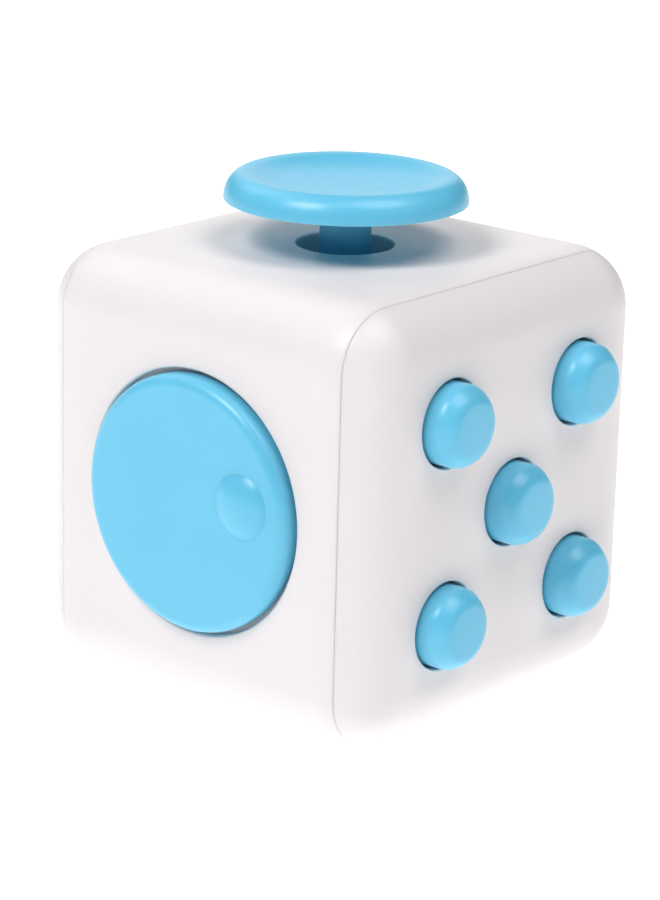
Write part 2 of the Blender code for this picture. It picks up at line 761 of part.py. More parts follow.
def build_flip_side(materials, frame):
    pivot = (0, 0, PIVOT_DEPTH)
    half_width = ROCKER_HALF_WIDTH
    at_rest = ACROSS @ Matrix.Rotation(-radians(THROW), 3, "Z")
    body = prism(rocker_outline(), -half_width, half_width)
    rocker = add("flip_rocker", body, materials["control_plastic"], frame, pivot, at_rest)
    bore = cylinder(PIN_HOLE_RADIUS, -half_width - OVERCUT, half_width + OVERCUT, SMALL_STEPS)
    cut(rocker, "rocker_bore", bore, frame, pivot, ACROSS)
    pin = cylinder(PIN_RADIUS, -PIN_HALF_LENGTH, PIN_HALF_LENGTH, SMALL_STEPS)
    add("rocker_pin", pin, materials["screw_steel"], frame, pivot, ACROSS)

    steps = 8
    crest = []
    for step in range(1, steps):
        share = 2 * step / steps - 1
        lift = LEAF_CREST * (1 + cos(pi * share)) / 2
        crest.append((LEAF_CREST_HALF * share, LEAF_TOP + lift))
    ends = [(-LEAF_HALF_LENGTH, LEAF_TOP), (-LEAF_CREST_HALF, LEAF_TOP)]
    top = ends + crest + [(-x, y) for x, y in reversed(ends)]
    outline = top + [(x, y - LEAF_THICKNESS) for x, y in reversed(top)]
    strip = prism(outline, -LEAF_HALF_WIDTH, LEAF_HALF_WIDTH)
    leaf = add("rocker_leaf_spring", strip, materials["spring_steel"], frame, rotation=ACROSS)
    hole_radius = LEAF_SCREW[2] + PILOT_CLEARANCE
    end = LEAF_TOP - LEAF_THICKNESS
    for number, side in enumerate((1, -1), 1):
        middle = side * LEAF_BOSS_OFFSET
        hole = cylinder(hole_radius, end - OVERCUT, LEAF_TOP + OVERCUT, TINY_STEPS)
        cut(leaf, f"leaf_hole_{number}", hole, frame, (0, middle, 0))
        place = (0, middle, end - TOUCH)
        add_screw(f"leaf_screw_{number}", LEAF_SCREW, materials["screw_steel"], frame, place)


def gear_outline():
    """Teeth with flat tips and sloping sides."""
    points = []
    pitch = 2 * pi / GEAR_TEETH
    for tooth in range(GEAR_TEETH):
        middle = tooth * pitch
        corners = (
            (GEAR_ROOT_RADIUS, -0.34),
            (GEAR_TIP_RADIUS, -0.18),
            (GEAR_TIP_RADIUS, 0.18),
            (GEAR_ROOT_RADIUS, 0.34),
        )
        for radius, share in corners:
            angle = middle + share * pitch
            points.append((radius * cos(angle), radius * sin(angle)))
    return points


def build_roll_side(materials, frame):
    plastic = materials["housing_plastic"]
    low = -HALF - OVERCUT
    cover = build_cover("roll_cover", plastic, frame, low, -HALF + COVER_DEPTH - SEAM_GAP / 2)
    build_gears(cover, materials, frame)
    build_ball(cover, materials, frame)


def build_gears(cover, materials, frame):
    steel = materials["screw_steel"]
    for number in range(3):
        middle = (number - 1) * GEAR_PITCH
        place = (middle, GEAR_HEIGHT, GEAR_DEPTH)
        slot = cylinder(GEAR_SLOT_RADIUS, -GEAR_SLOT_WIDTH / 2, GEAR_SLOT_WIDTH / 2, MEDIUM_STEPS)
        cut(cover, f"gear_slot_{number + 1}", slot, frame, place, ACROSS)
        wheel = prism(gear_outline(), -GEAR_WIDTH / 2, GEAR_WIDTH / 2)
        gear = add(f"roll_gear_{number + 1}", wheel, materials["wheel_metal"], frame, place, ACROSS)
        bore = cylinder(GEAR_BORE_RADIUS, -GEAR_WIDTH, GEAR_WIDTH, SMALL_STEPS)
        cut(gear, f"gear_bore_{number + 1}", bore, frame, place, ACROSS)
    for side, name in ((-1, "left"), (1, "right")):
        inner, outer = sorted((side * AXLE_EAR_INNER, side * AXLE_EAR_OUTER))
        half = AXLE_EAR_HALF_HEIGHT
        ear = block(
            (inner, GEAR_HEIGHT - half, AXLE_EAR_DEPTH), (outer, GEAR_HEIGHT + half, -WALL + 0.5)
        )
        join(cover, f"axle_ear_{name}", ear, frame)
    place = (0, GEAR_HEIGHT, GEAR_DEPTH)
    reach = AXLE_EAR_OUTER + OVERCUT
    cut(cover, "axle_holes", cylinder(AXLE_RADIUS + 0.1, -reach, reach, SMALL_STEPS), frame, place, ACROSS)
    axle = cylinder(AXLE_RADIUS, -AXLE_HALF_LENGTH, AXLE_HALF_LENGTH, SMALL_STEPS)
    add("gear_axle", axle, steel, frame, place, ACROSS)


def build_ball(cover, materials, frame):
    """The ball in its socket, the cup that it rolls in, and the dome and carrier behind the cup."""
    place = (0, BALL_HEIGHT, BALL_DEPTH)
    socket = bmesh.new()
    bmesh.ops.create_uvsphere(socket, u_segments=MEDIUM_STEPS, v_segments=16, radius=BALL_SOCKET_RADIUS)
    cut(cover, "ball_socket", socket, frame, place)
    ball = bmesh.new()
    bmesh.ops.create_uvsphere(ball, u_segments=SMALL_STEPS, v_segments=12, radius=BALL_RADIUS)
    add("roll_ball", ball, materials["ball_metal"], frame, place)

    seat_radius = BALL_SOCKET_RADIUS
    rim_angle = degrees(asin((CUP_RIM - BALL_DEPTH) / seat_radius))
    profile = arc((0, BALL_DEPTH), seat_radius, -90, rim_angle, 6)
    profile += [
        (CUP_RADIUS, CUP_RIM),
        (CUP_RADIUS, CUP_BOTTOM),
        (CUP_STUB_RADIUS, CUP_BOTTOM),
        (CUP_STUB_RADIUS, CUP_STUB_END),
        (0, CUP_STUB_END),
    ]
    inner = materials["inner_plastic"]
    add("ball_cup", turned(profile, MEDIUM_STEPS), inner, frame, (0, BALL_HEIGHT, 0))
    dome = dome_shape(ROLL_PLATE_TOP + 0.05)
    add("ball_dome", dome, materials["spring_steel"], frame, (0, BALL_HEIGHT, 0))

    end = ROLL_PLATE_TOP - ROLL_PLATE_THICKNESS
    outline = rounded_rectangle(ROLL_PLATE_HALF_WIDTH, ROLL_PLATE_HALF_HEIGHT, 2.0)
    plate = prism(outline, end, ROLL_PLATE_TOP)
    carrier = add("roll_carrier", plate, inner, frame, (0, BALL_HEIGHT, 0))
    sleeve = [
        (SLEEVE_INNER, ROLL_PLATE_TOP - 0.3),
        (SLEEVE_OUTER, ROLL_PLATE_TOP - 0.3),
        (SLEEVE_OUTER, SLEEVE_TOP),
        (SLEEVE_INNER, SLEEVE_TOP),
    ]
    ring = turned(sleeve, MEDIUM_STEPS, ring=True)
    join(carrier, "cup_sleeve", ring, frame, (0, BALL_HEIGHT, 0))
    places = [(-ROLL_BOSS_OFFSET, BALL_HEIGHT), (ROLL_BOSS_OFFSET, BALL_HEIGHT)]
    hole_radius = SMALL_SCREW[2] + PILOT_CLEARANCE
    boss_end = ROLL_PLATE_TOP + TOUCH
    add_bosses(cover, "roll", frame, places, -WALL + 0.5, boss_end, hole_radius, SMALL_SCREW[3])
    for number, (x, y) in enumerate(places, 1):
        hole = cylinder(hole_radius, end - OVERCUT, ROLL_PLATE_TOP + OVERCUT, TINY_STEPS)
        cut(carrier, f"roll_carrier_hole_{number}", hole, frame, (x, y, 0))
        screw_place = (x, y, end - TOUCH)
        add_screw(f"roll_screw_{number}", SMALL_SCREW, materials["screw_steel"], frame, screw_place)


def main():
    clear_scene()
    materials = {
        "housing_plastic": make_material("housing_plastic", (240, 237, 238), 0.38),
        "control_plastic": make_material("control_plastic", (98, 200, 238), 0.32),
        "inner_plastic": make_material("inner_plastic", (205, 208, 210), 0.5),
        "screw_steel": make_material("screw_steel", (178, 178, 176), 0.3, 1.0),
        "spring_steel": make_material("spring_steel", (196, 196, 192), 0.25, 1.0),
        "wheel_metal": make_material("wheel_metal", (186, 188, 190), 0.35, 1.0),
        "ball_metal": make_material("ball_metal", (206, 208, 210), 0.12, 1.0),
    }
    frames = {
        "click": face_frame("click_face", (1, 0, 0), (0, 0, 1)),
        "spin": face_frame("spin_face", (0, -1, 0), (0, 0, 1)),
        "glide": face_frame("glide_face", (0, 0, 1), (0, 1, 0)),
        "flip": face_frame("flip_face", (0, 1, 0), (0, 0, 1)),
        "roll": face_frame("roll_face", (-1, 0, 0), (0, 0, 1)),
        "breathe": face_frame("breathe_face", (0, 0, -1), (0, 1, 0)),
    }
    build_main_housing(materials, frames)
    build_click_side(materials, frames["click"])
    build_glide_side(materials, frames["glide"])
    build_spin_side(materials, frames["spin"])
    build_flip_side(materials, frames["flip"])
    build_roll_side(materials, frames["roll"])


main()
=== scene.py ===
"""The looks of the fidget cube: fine meshes, materials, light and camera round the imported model.

Every CAD node is replaced by a finer mesh of the same piece, in the same place and on the same body.
Shapes are made in millimetres in the frame of their own cube face: X to the right and Y up as the face is
looked at, and Z out of it. That frame's origin is the face's middle, so depths into the cube are negative.
"""

import json
from math import acos, asin, atan2, ceil, cos, degrees, pi, radians, sin, sqrt, tan

import bmesh
import bpy
from mathutils import Matrix, Vector

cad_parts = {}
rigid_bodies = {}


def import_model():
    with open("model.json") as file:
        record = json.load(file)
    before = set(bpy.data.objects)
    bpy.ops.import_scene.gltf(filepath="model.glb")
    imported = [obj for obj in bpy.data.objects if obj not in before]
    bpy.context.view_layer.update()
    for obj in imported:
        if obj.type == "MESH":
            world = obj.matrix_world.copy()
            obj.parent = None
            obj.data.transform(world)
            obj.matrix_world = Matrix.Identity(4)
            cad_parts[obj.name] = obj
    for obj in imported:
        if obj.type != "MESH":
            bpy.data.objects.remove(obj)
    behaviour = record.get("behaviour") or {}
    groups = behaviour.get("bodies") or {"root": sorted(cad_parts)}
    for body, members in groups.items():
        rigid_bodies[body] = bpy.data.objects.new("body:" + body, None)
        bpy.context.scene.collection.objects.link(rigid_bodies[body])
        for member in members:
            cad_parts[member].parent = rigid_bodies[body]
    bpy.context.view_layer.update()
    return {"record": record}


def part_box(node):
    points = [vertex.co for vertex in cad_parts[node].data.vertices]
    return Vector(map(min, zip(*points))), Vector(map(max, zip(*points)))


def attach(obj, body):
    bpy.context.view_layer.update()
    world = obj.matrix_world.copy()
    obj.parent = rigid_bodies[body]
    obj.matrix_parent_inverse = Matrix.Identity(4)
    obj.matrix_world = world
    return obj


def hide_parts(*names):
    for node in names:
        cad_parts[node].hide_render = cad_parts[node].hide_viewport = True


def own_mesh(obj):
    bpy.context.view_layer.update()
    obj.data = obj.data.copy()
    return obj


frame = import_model()

MM = 0.001

# How fine the meshes are
SAG = 0.0025
FEWEST_STEPS = 24
ARC_STEP = radians(13)
FILLET_SEGMENTS = 15
EDGE_STEPS = 3
SHARP_ANGLE = radians(32)
ON_AXIS = 1e-6
MERGE_DISTANCE = 0.0005
CORNER_SHARE = 0.48
NEARLY_STRAIGHT = radians(89)
SHARPEST_MITRE = 0.5

# How shapes join and cut: what overlaps, and what is left free
WALL_BITE = 0.5
OVERCUT = 1.0
CUTTER_RISE = 0.1
TOUCH = 0.15
PILOT_CLEARANCE = 0.15

# How edges are broken
CRISP_EDGE = 0.1
EDGE = 0.15
EASED_EDGE = 0.2
RING_EDGE = 0.12
LIP = 0.16
FINE_LIP = 0.1

# Casing
HALF = (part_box("main_housing")[1].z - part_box("main_housing")[0].z) / 2 / MM
HOUSING_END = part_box("main_housing")[1].x / MM
SEAM_GAP = 0.15
SEAM_CORE = 0.015
COVER_START = HOUSING_END + SEAM_CORE
COVER_DEPTH = HALF - HOUSING_END - SEAM_GAP / 2
EDGE_RADIUS = 4.7
RIM_EDGE = 0.08
WALL = 2.0
INSIDE = HALF - WALL
CORNER_BLOCK = 10.8
CAVITY_CORNER = 0.6
PEG_OFFSET = 12.6
PEG_PLACES = [(x * PEG_OFFSET, y * PEG_OFFSET, 0) for x in (-1, 1) for y in (-1, 1)]
PEG_RADIUS = 0.95
PEG_LENGTH = 3.6
PEG_CORNER = 0.35
PEG_SOCKET_RADIUS = 1.1
PEG_SOCKET_DEPTH = 4.0
TAB_WIDTH = 9.0
TAB_THICKNESS = 0.9
TAB_LENGTH = 1.5
TAB_CLEARANCE = 0.2
BOSS_RADIUS = 1.6
BOSS_EDGE = 0.12
SMALL_PILOT_DEPTH = 3.6
LEAF_PILOT_DEPTH = 2.6
CLICK_PILOT_DEPTH = 2.9

# Click side
BUTTON_RADIUS = 3.05
BUTTON_HOLE_RADIUS = 3.3
BUTTON_FLAT_RADIUS = 2.2
BUTTON_SHOULDER = 1.05
BUTTON_CROWN_ROUNDING = 1.0
BUTTON_SHOULDER_ROUNDING = 1.3
BUTTON_FLANGE_TOP = -WALL - TOUCH
BUTTON_FLANGE_THICKNESS = 0.8
BUTTON_STUB_RADIUS = 1.1
BUTTON_STUB_END = 0.3
CLICK_PLATE_CORNER = 3.5
DOME_THICKNESS = 0.2
DOME_STEPS = 14
DOME_KEEP = 0.3
SILENT_WIRE = 0.3
SILENT_TURNS = 4
SILENT_KEEP = 0.55
PRESS_AXIS = (1, 0, 0)
BUTTONS = ("center", "upper_left", "upper_right", "lower_left", "lower_right")
SNAPPING = ("center", "upper_left", "lower_right")
CLICK_SCREWS = ("click_screw_1", "click_screw_2", "click_screw_3", "click_screw_4")

# Glide side
STICK_HOLE_RADIUS = 3.66
STEM_RADIUS = 1.95
STEM_FILLET = 0.4
CAP_RIM_HEIGHT = 3.4
CAP_CREST_RADIUS = 7.6
CAP_DISH_RADIUS = 7.0
CAP_DISH_HEIGHT = 4.5
CAP_DISH_POWER = 4
CAP_DISH_STEPS = 32
CAP_DISH_DROP = 0.12
CAP_EDGE_STEPS = 16
CAP_SKIRT = 0.7
CAP_SKIRT_FOOT = 1.3
CAP_SKIRT_CORNER = 0.3
CAP_HOLLOW = 0.4
STICK_PILOT_RADIUS = 0.95
STICK_PILOT_DEPTH = 3.6
SLIP_WASHER_INNER = 3.1
SLIP_WASHER_EDGE = 0.08
SEAT_RADIUS = 7.0
SEAT_EAR_RADIUS = 1.9
SEAT_EAR_CORNER = SEAT_EAR_RADIUS * 0.95
SEAT_REACH = 9.2
SEAT_ANGLE = radians(60)
SEAT_SCREWS = ("seat_screw_1", "seat_screw_2")
CONE_SPRING_TOP_RADIUS = 3.5
CONE_SPRING_BOTTOM_RADIUS = 6.3
CONE_WIRE = 0.4
CONE_TURNS = 4

# Coil springs: how finely they are made, and how their end turns lie nearly flat
WIRE_SIDES = 12
COIL_STEPS = 36
END_TURNS = 0.8
CONE_END_TURNS = 0.5
END_RISE = 0.3

# Spin side
DIAL_RISE = 1.1
DIAL_EDGE = 1.0
DIAL_BACK = -0.65
RECESS_RADIUS = 9.95
RECESS_DEPTH = 0.8
NUB_PLACE = (5.6, 1.2)
NUB_RADIUS = 2.42
NUB_SWEEP = radians(64)
NUB_STEPS = 15
NUB_ROOT = 0.5
HUB_RADIUS = 2.2
HUB_BORE_RADIUS = 2.35
HUB_PILOT_END = -0.6
WAVE_INNER = 2.5
WAVE_THICKNESS = 0.25
WAVE_EDGE = 0.06
WAVE_SWING = 0.33
WAVE_COUNT = 3

# Flip side
THROW = radians(7)
PIVOT_DEPTH = -3.2
ROCKER_END_RADIUS = 7.7
ROCKER_SLOT_RADIUS = 7.9
ROCKER_SLOT_HALF_WIDTH = 4.55
ROCKER_SLOT_CORNER = 0.4
ROCKER_VALLEY = -0.2
ROCKER_VALLEY_ROUNDING = 3.0
ROCKER_SKIRT = -0.6
ROCKER_FOOT = ((2.2, -1.9), (2.9, -0.6))
ROCKER_FOOT_CORNER = 0.4
ROCKER_END_STEPS = 7
ROCKER_EDGE = 0.25
PIN_HOLE_RADIUS = 1.05
PIN_EAR_HOLE_RADIUS = 1.0
EAR_INNER = 4.75
EAR_OUTER = 6.4
EAR_HALF_HEIGHT = 2.3
EAR_DEPTH = -5.0
NOSE_REACH = 3.2
NOSE_ROOT = -1.7
NOSE_TIP_HALF = 0.15
NOSE_ROOT_HALF = 0.75
NOSE_CHEEK = (0.4, 0.25 - NOSE_REACH)
NOSE_EDGE = 0.08
NOSE_INSET = 0.3
LEAF_SCREWS = ("leaf_screw_1", "leaf_screw_2")
LEAF_THICKNESS = 0.3
LEAF_EDGE = 0.05
LEAF_STEPS = 24
LEAF_CREST = 0.2
LEAF_CREST_HALF = 2.0
LEAF_POST_HALF = 1.5

# Roll side
GEAR_ROOT_RADIUS = 4.15
GEAR_TIP_RADIUS = 4.9
GEAR_TEETH = 14
TOOTH_ROOT_SHARE = 0.34
TOOTH_TIP_SHARE = 0.18
TOOTH_CORNER = 0.12
GEAR_BORE_RADIUS = 1.0
GEAR_SLOT_RADIUS = 5.15
GEAR_SLOT_HALF_WIDTH = 2.1
GEAR_SLOT_CORNER = 0.2
AXLE_EAR_HOLE_RADIUS = 0.95
AXLE_EAR_INNER = 7.2
AXLE_EAR_OUTER = 8.9
AXLE_EAR_HALF_HEIGHT = 1.9
AXLE_EAR_DEPTH = -4.9
BALL_SOCKET_RADIUS = 3.65
CUP_RIM = -3.4
CUP_RIM_EDGE = 0.04
CUP_BOTTOM = -6.0
CUP_STUB_RADIUS = 0.9
CUP_STEPS = 12
ROLL_SCREWS = ("roll_screw_1", "roll_screw_2")
ROLL_PLATE_THICKNESS = 1.2
ROLL_PLATE_CORNER = 2.0
SLEEVE_INNER = 3.95
SLEEVE_OUTER = 4.7
SLEEVE_ROOT = 0.3

# Breathe side
DISH_HALF_LENGTH = 10.5
DISH_HALF_WIDTH = 8.5
DISH_DEPTH = 2.2
DISH_FLOOR = 1.6
DISH_RIM = 1.5
DISH_RIM_STEPS = 8
DISH_FLARE = 0.3
DISH_BACKING_BITE = 0.2

# Screws: shank radius and head height of each kind, then the thread, the head and its cross recess
SMALL_SCREW = (0.6, 0.8)
STICK_SCREW = (0.8, 0.8)
LEAF_SCREW = (0.45, 0.6)
SMALL_PILOT_RADIUS = SMALL_SCREW[0] + PILOT_CLEARANCE
LEAF_PILOT_RADIUS = LEAF_SCREW[0] + PILOT_CLEARANCE
THREAD_PITCH = 0.5
THREAD_DEPTH = 0.1
THREAD_CREST = 0.7
THREAD_SIDES = 20
THREAD_ROWS = 8
TIP_TAPER = 2.2
TIP_SHARE = 0.25
HEAD_ROUNDING = 0.6
NECK_EDGE = 0.06
SHANK_INSET = 0.06
SHANK_ROOT = 0.1
CROSS_ARM = 0.55
CROSS_FLOOR_SHARE = 0.4
CROSS_FLOOR_HALF = 0.08
CROSS_MOUTH_HALF = 0.16
CROSS_DEPTH = 0.65
CROSS_RISE = 0.05

# Camera
CAMERA_AZIMUTH = radians(39.915)
CAMERA_ELEVATION = radians(17.373)
CAMERA_ROLL = radians(1.441)
CAMERA_DISTANCE = 232.865
CAMERA_SIDESTEP = -0.733
CAMERA_LIFT = 0.281
CAMERA_LENS = 122.25
SENSOR = 36.0

# Table and light. A softbox has an azimuth and an elevation in degrees, a size and a power.
FLOOR_RADIUS = 4000.0
FLOOR_SIDES = 64
FLOOR_DROP = 0.02
FLOOR_COLOUR = (0.7, 0.7, 0.7)
FLOOR_GLOW = 0.78
WORLD_HORIZON = 0.03
WORLD_ZENITH = 0.06
SOFTBOX_DISTANCE = 500
SOFTBOXES = {
    "key": (-10, 52, 190, 1.45),
    "right": (100, 66, 300, 1.32),
    "low_back": (220, 18, 300, 0.28),
    "left": (265, 45, 300, 0.45),
}

# Materials: what each slot looks like. Grain and scratches are heights in millimetres.
PLASTICS = {
    "housing_plastic": dict(
        colour=(0.805, 0.76, 0.762), roughness=0.42, grain=0.002, mottle=0.006, subsurface=0.4
    ),
    "control_plastic": dict(
        colour=(0.134, 0.545, 0.78), roughness=0.33, grain=0.0015, mottle=0.015, subsurface=0.2
    ),
    "inner_plastic": dict(colour=(0.60, 0.62, 0.63), roughness=0.5, grain=0.003),
}
METALS = {
    "screw_steel": dict(colour=(0.56, 0.56, 0.55), roughness=0.28, scratches=0.002),
    "spring_steel": dict(colour=(0.62, 0.61, 0.58), roughness=0.22, scratches=0.001, stretch=(1, 1, 0.2)),
    "wheel_metal": dict(colour=(0.60, 0.61, 0.62), roughness=0.34, scratches=0.003, stretch=(1, 0.15, 1)),
    "ball_metal": dict(colour=(0.68, 0.69, 0.70), roughness=0.12, scratches=0.0004),
}
NOISE_LOW = 0.3
NOISE_HIGH = 0.7
CLOUDS_PER_MM = 0.16
GLOSS_PATCHES_PER_MM = 0.7
GLOSS_SWING = 0.03
FLOW_MARKS_PER_MM = 0.22
FLOW_MARK_HEIGHT = 0.012
GRAIN_PER_MM = 7.0
SCATTER_DEPTH = 0.8
TARNISH_PER_MM = 0.4
TARNISHED = 0.93
POLISHED = 1.04
SMOOTHEST = 0.8
ROUGHEST = 1.25
SCRATCHES_PER_MM = 5.0

# Turns a shape made about Z so that its axis runs across a face, with X up the face and Y out of it
ACROSS = Matrix(((0, 0, 1), (1, 0, 0), (0, 1, 0))).to_4x4()


# ---- places


def face_frame(outward, up):
    """From a face's own frame to the cube's, in millimetres."""
    outward = Vector(outward)
    up = Vector(up)
    axes = Matrix((up.cross(outward), up, outward)).transposed()
    return Matrix.Translation(Vector((0, 0, HALF)) + outward * HALF) @ axes.to_4x4()


CLICK = face_frame((1, 0, 0), (0, 0, 1))
SPIN = face_frame((0, -1, 0), (0, 0, 1))
GLIDE = face_frame((0, 0, 1), (0, 1, 0))
FLIP = face_frame((0, 1, 0), (0, 0, 1))
ROLL = face_frame((-1, 0, 0), (0, 0, 1))
BREATHE = face_frame((0, 0, -1), (0, 1, 0))


class Span:
    """Where a CAD node lies in a face's frame: its middle, its depths and its half sizes."""

    def __init__(self, node, face):
        inverse = face.inverted()
        corners = [inverse @ (corner / MM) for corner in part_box(node)]
        low = Vector(map(min, *corners))
        high = Vector(map(max, *corners))
        self.x, self.y = (low.x + high.x) / 2, (low.y + high.y) / 2
        self.low, self.middle, self.high = low.z, (low.z + high.z) / 2, high.z
        self.half_x, self.half_y = (high.x - low.x) / 2, (high.y - low.y) / 2
        self.radius = max(self.half_x, self.half_y)
        self.place = (self.x, self.y, 0)


def places_of(nodes, face):
    return [Span(node, face).place for node in nodes]


# ---- outlines and shapes


def steps_round(radius):
    """How many sides a circle needs to look round."""
    return max(FEWEST_STEPS, 4 * ceil(pi / acos(1 - SAG / max(radius, 3 * SAG)) / 4))


def arc(centre, radius, start, end, steps):
    """Points along a round stretch, between two angles in degrees."""
    angles = [radians(start + (end - start) * step / steps) for step in range(steps + 1)]
    return [(centre[0] + radius * cos(angle), centre[1] + radius * sin(angle)) for angle in angles]


def circle(radius):
    return arc((0, 0), radius, 0, 360, steps_round(radius))[:-1]


def soften(points, radius=0, closed=False):
    """The same outline with its corners rounded. A point may carry its own radius as a third number."""
    outline = []
    for index, point in enumerate(points):
        corner = Vector(point[:2])
        reach = point[2] if len(point) == 3 else radius
        at_end = not closed and index in (0, len(points) - 1)
        if at_end or not reach:
            outline.append(tuple(corner))
            continue
        before = Vector(points[index - 1][:2]) - corner
        after = Vector(points[(index + 1) % len(points)][:2]) - corner
        half = before.angle(after) / 2
        if half > NEARLY_STRAIGHT:
            outline.append(tuple(corner))
            continue
        cut = min(reach / tan(half), before.length * CORNER_SHARE, after.length * CORNER_SHARE)
        bend = cut * tan(half)
        centre = corner + (before.normalized() + after.normalized()).normalized() * bend / sin(half)
        start = corner + before.normalized() * cut - centre
        end = corner + after.normalized() * cut - centre
        first = atan2(start.y, start.x)
        sweep = (atan2(end.y, end.x) - first + pi) % (2 * pi) - pi
        steps = max(2, ceil(abs(sweep) / ARC_STEP))
        outline += arc(centre, bend, degrees(first), degrees(first + sweep), steps)
    return outline


def rectangle(half_width, half_height, radius, centre=(0.0, 0.0)):
    x, y = centre
    corners = [(1, 1), (-1, 1), (-1, -1), (1, -1)]
    return soften([(x + i * half_width, y + j * half_height) for i, j in corners], radius, closed=True)


def moved_out(outline, distance):
    """The outline moved out by a distance, or in where that is negative. It runs anticlockwise."""
    moved = []
    for index, point in enumerate(outline):
        before = (Vector(point) - Vector(outline[index - 1])).normalized()
        after = (Vector(outline[(index + 1) % len(outline)]) - Vector(point)).normalized()
        along = (before + after).normalized()
        outward = Vector((along.y, -along.x))
        stretch = max(along.dot(after), SHARPEST_MITRE)
        moved.append(tuple(Vector(point) + outward * distance / stretch))
    return moved


def loft(rings):
    """A closed solid through rings of the same number of points."""
    shape = bmesh.new()
    rows = [[shape.verts.new(point) for point in ring] for ring in rings]
    for lower, upper in zip(rows, rows[1:]):
        for index in range(len(lower)):
            after = (index + 1) % len(lower)
            shape.faces.new((lower[index], lower[after], upper[after], upper[index]))
    shape.faces.new(rows[0])
    shape.faces.new(rows[-1])
    return shape


def offset_loft(outline, rings):
    """A closed solid through copies of an outline, each moved out by a distance and up to a height."""
    return loft([[(*point, height) for point in moved_out(outline, out)] for out, height in rings])


def prism(outline, low, high, edge=0.0):
    """A solid between two heights. With an edge given, its top and bottom edges are rounded."""
    rings = []
    if edge:
        for point in arc((0, 0), edge, -90, 0, EDGE_STEPS):
            rings.append((point[0] - edge, low + edge + point[1]))
        for point in arc((0, 0), edge, 0, 90, EDGE_STEPS):
            rings.append((point[0] - edge, high - edge + point[1]))
    else:
        rings = [(0.0, low), (0.0, high)]
    return offset_loft(outline, rings)


def turned(profile, steps=None, ring=False):
    """A solid turned about Z from (radius, height) points. A ring's last point joins its first."""
    steps = steps or steps_round(max(radius for radius, height in profile))
    turns = [(cos(2 * pi * step / steps), sin(2 * pi * step / steps)) for step in range(steps)]
    shape = bmesh.new()
    rows = []
    for radius, height in profile:
        if radius < ON_AXIS:
            rows.append([shape.verts.new((0, 0, height))] * steps)
        else:
            rows.append([shape.verts.new((radius * x, radius * y, height)) for x, y in turns])
    for row, below in zip(rows, rows[1:] + rows[:1] * ring):
        for step in range(steps):
            after = (step + 1) % steps
            corners = dict.fromkeys((row[step], row[after], below[after], below[step]))
            if len(corners) > 2:
                shape.faces.new(corners)
    return shape


def cylinder(radius, low, high, edge=0.0):
    """A round bar along Z, with its ends' edges rounded."""
    return turned(soften([(0, low), (radius, low), (radius, high), (0, high)], edge))


def tube(inner, outer, low, high, edge):
    """A washer or a sleeve about Z, with its edges rounded."""
    corners = [(inner, low), (outer, low), (outer, high), (inner, high)]
    return turned(soften(corners, edge, closed=True), ring=True)


def block(low, high, edge=0.0):
    """A straight block between two opposite corners, with the edges at its ends rounded."""
    middle = ((low[0] + high[0]) / 2, (low[1] + high[1]) / 2)
    outline = rectangle((high[0] - low[0]) / 2, (high[1] - low[1]) / 2, edge, middle)
    return prism(outline, low[2], high[2], edge)


def lipped(outline, low, lip):
    """A cutter from a depth up through a face, which leaves the edge of its hole rounded."""
    rings = [(0.0, low)]
    rings += [(x + lip, y - lip) for x, y in arc((0, 0), lip, 180, 100, EDGE_STEPS + 1)]
    rings.append((lip + CUTTER_RISE, CUTTER_RISE))
    return offset_loft(outline, rings)


def sphere(radius):
    return turned(arc((0, 0), radius, -90, 90, steps_round(radius) // 2))


def placed(shape, face, place=(0, 0, 0), turn=None):
    """The shape moved from a face's frame to the cube's. It may be turned before that."""
    matrix = face @ Matrix.Translation(Vector(place)) @ (turn or Matrix())
    bmesh.ops.transform(shape, matrix=matrix, verts=shape.verts)
    return shape


def new_mesh(name, shape):
    """A mesh of the shape, which is used up."""
    mesh = bpy.data.meshes.new(name)
    shape.to_mesh(mesh)
    shape.free()
    return mesh


def new_object(name, data, collection=None):
    obj = bpy.data.objects.new(name, data)
    (collection or bpy.context.scene.collection).objects.link(obj)
    return obj


def scratch(shape, collection=None):
    bmesh.ops.recalc_face_normals(shape, faces=shape.faces)
    return new_object("scratch", new_mesh("scratch", shape), collection)


def combined(operation, shape, others):
    """The first shape joined to the others or cut by them. They may overlap each other, and are used up.

    Broad faces are split into triangles beforehand, because a Boolean can leave them folded over otherwise.
    """
    for part in (shape, *others):
        broad = [face for face in part.faces if len(face.verts) > 4]
        bmesh.ops.triangulate(part, faces=broad)
    helpers = bpy.data.collections.new("helpers")
    bpy.context.scene.collection.children.link(helpers)
    target = scratch(shape)
    for other in others:
        scratch(other, helpers)
    modifier = target.modifiers.new("combine", "BOOLEAN")
    modifier.operation = operation
    modifier.operand_type = "COLLECTION"
    modifier.collection = helpers
    modifier.solver = "MANIFOLD"
    result = bmesh.new()
    result.from_object(target, bpy.context.evaluated_depsgraph_get())
    for obj in [target, *helpers.objects]:
        bpy.data.meshes.remove(obj.data)
    bpy.data.collections.remove(helpers)
    if not result.faces:
        raise ValueError("a Boolean left nothing of its shape")
    return result


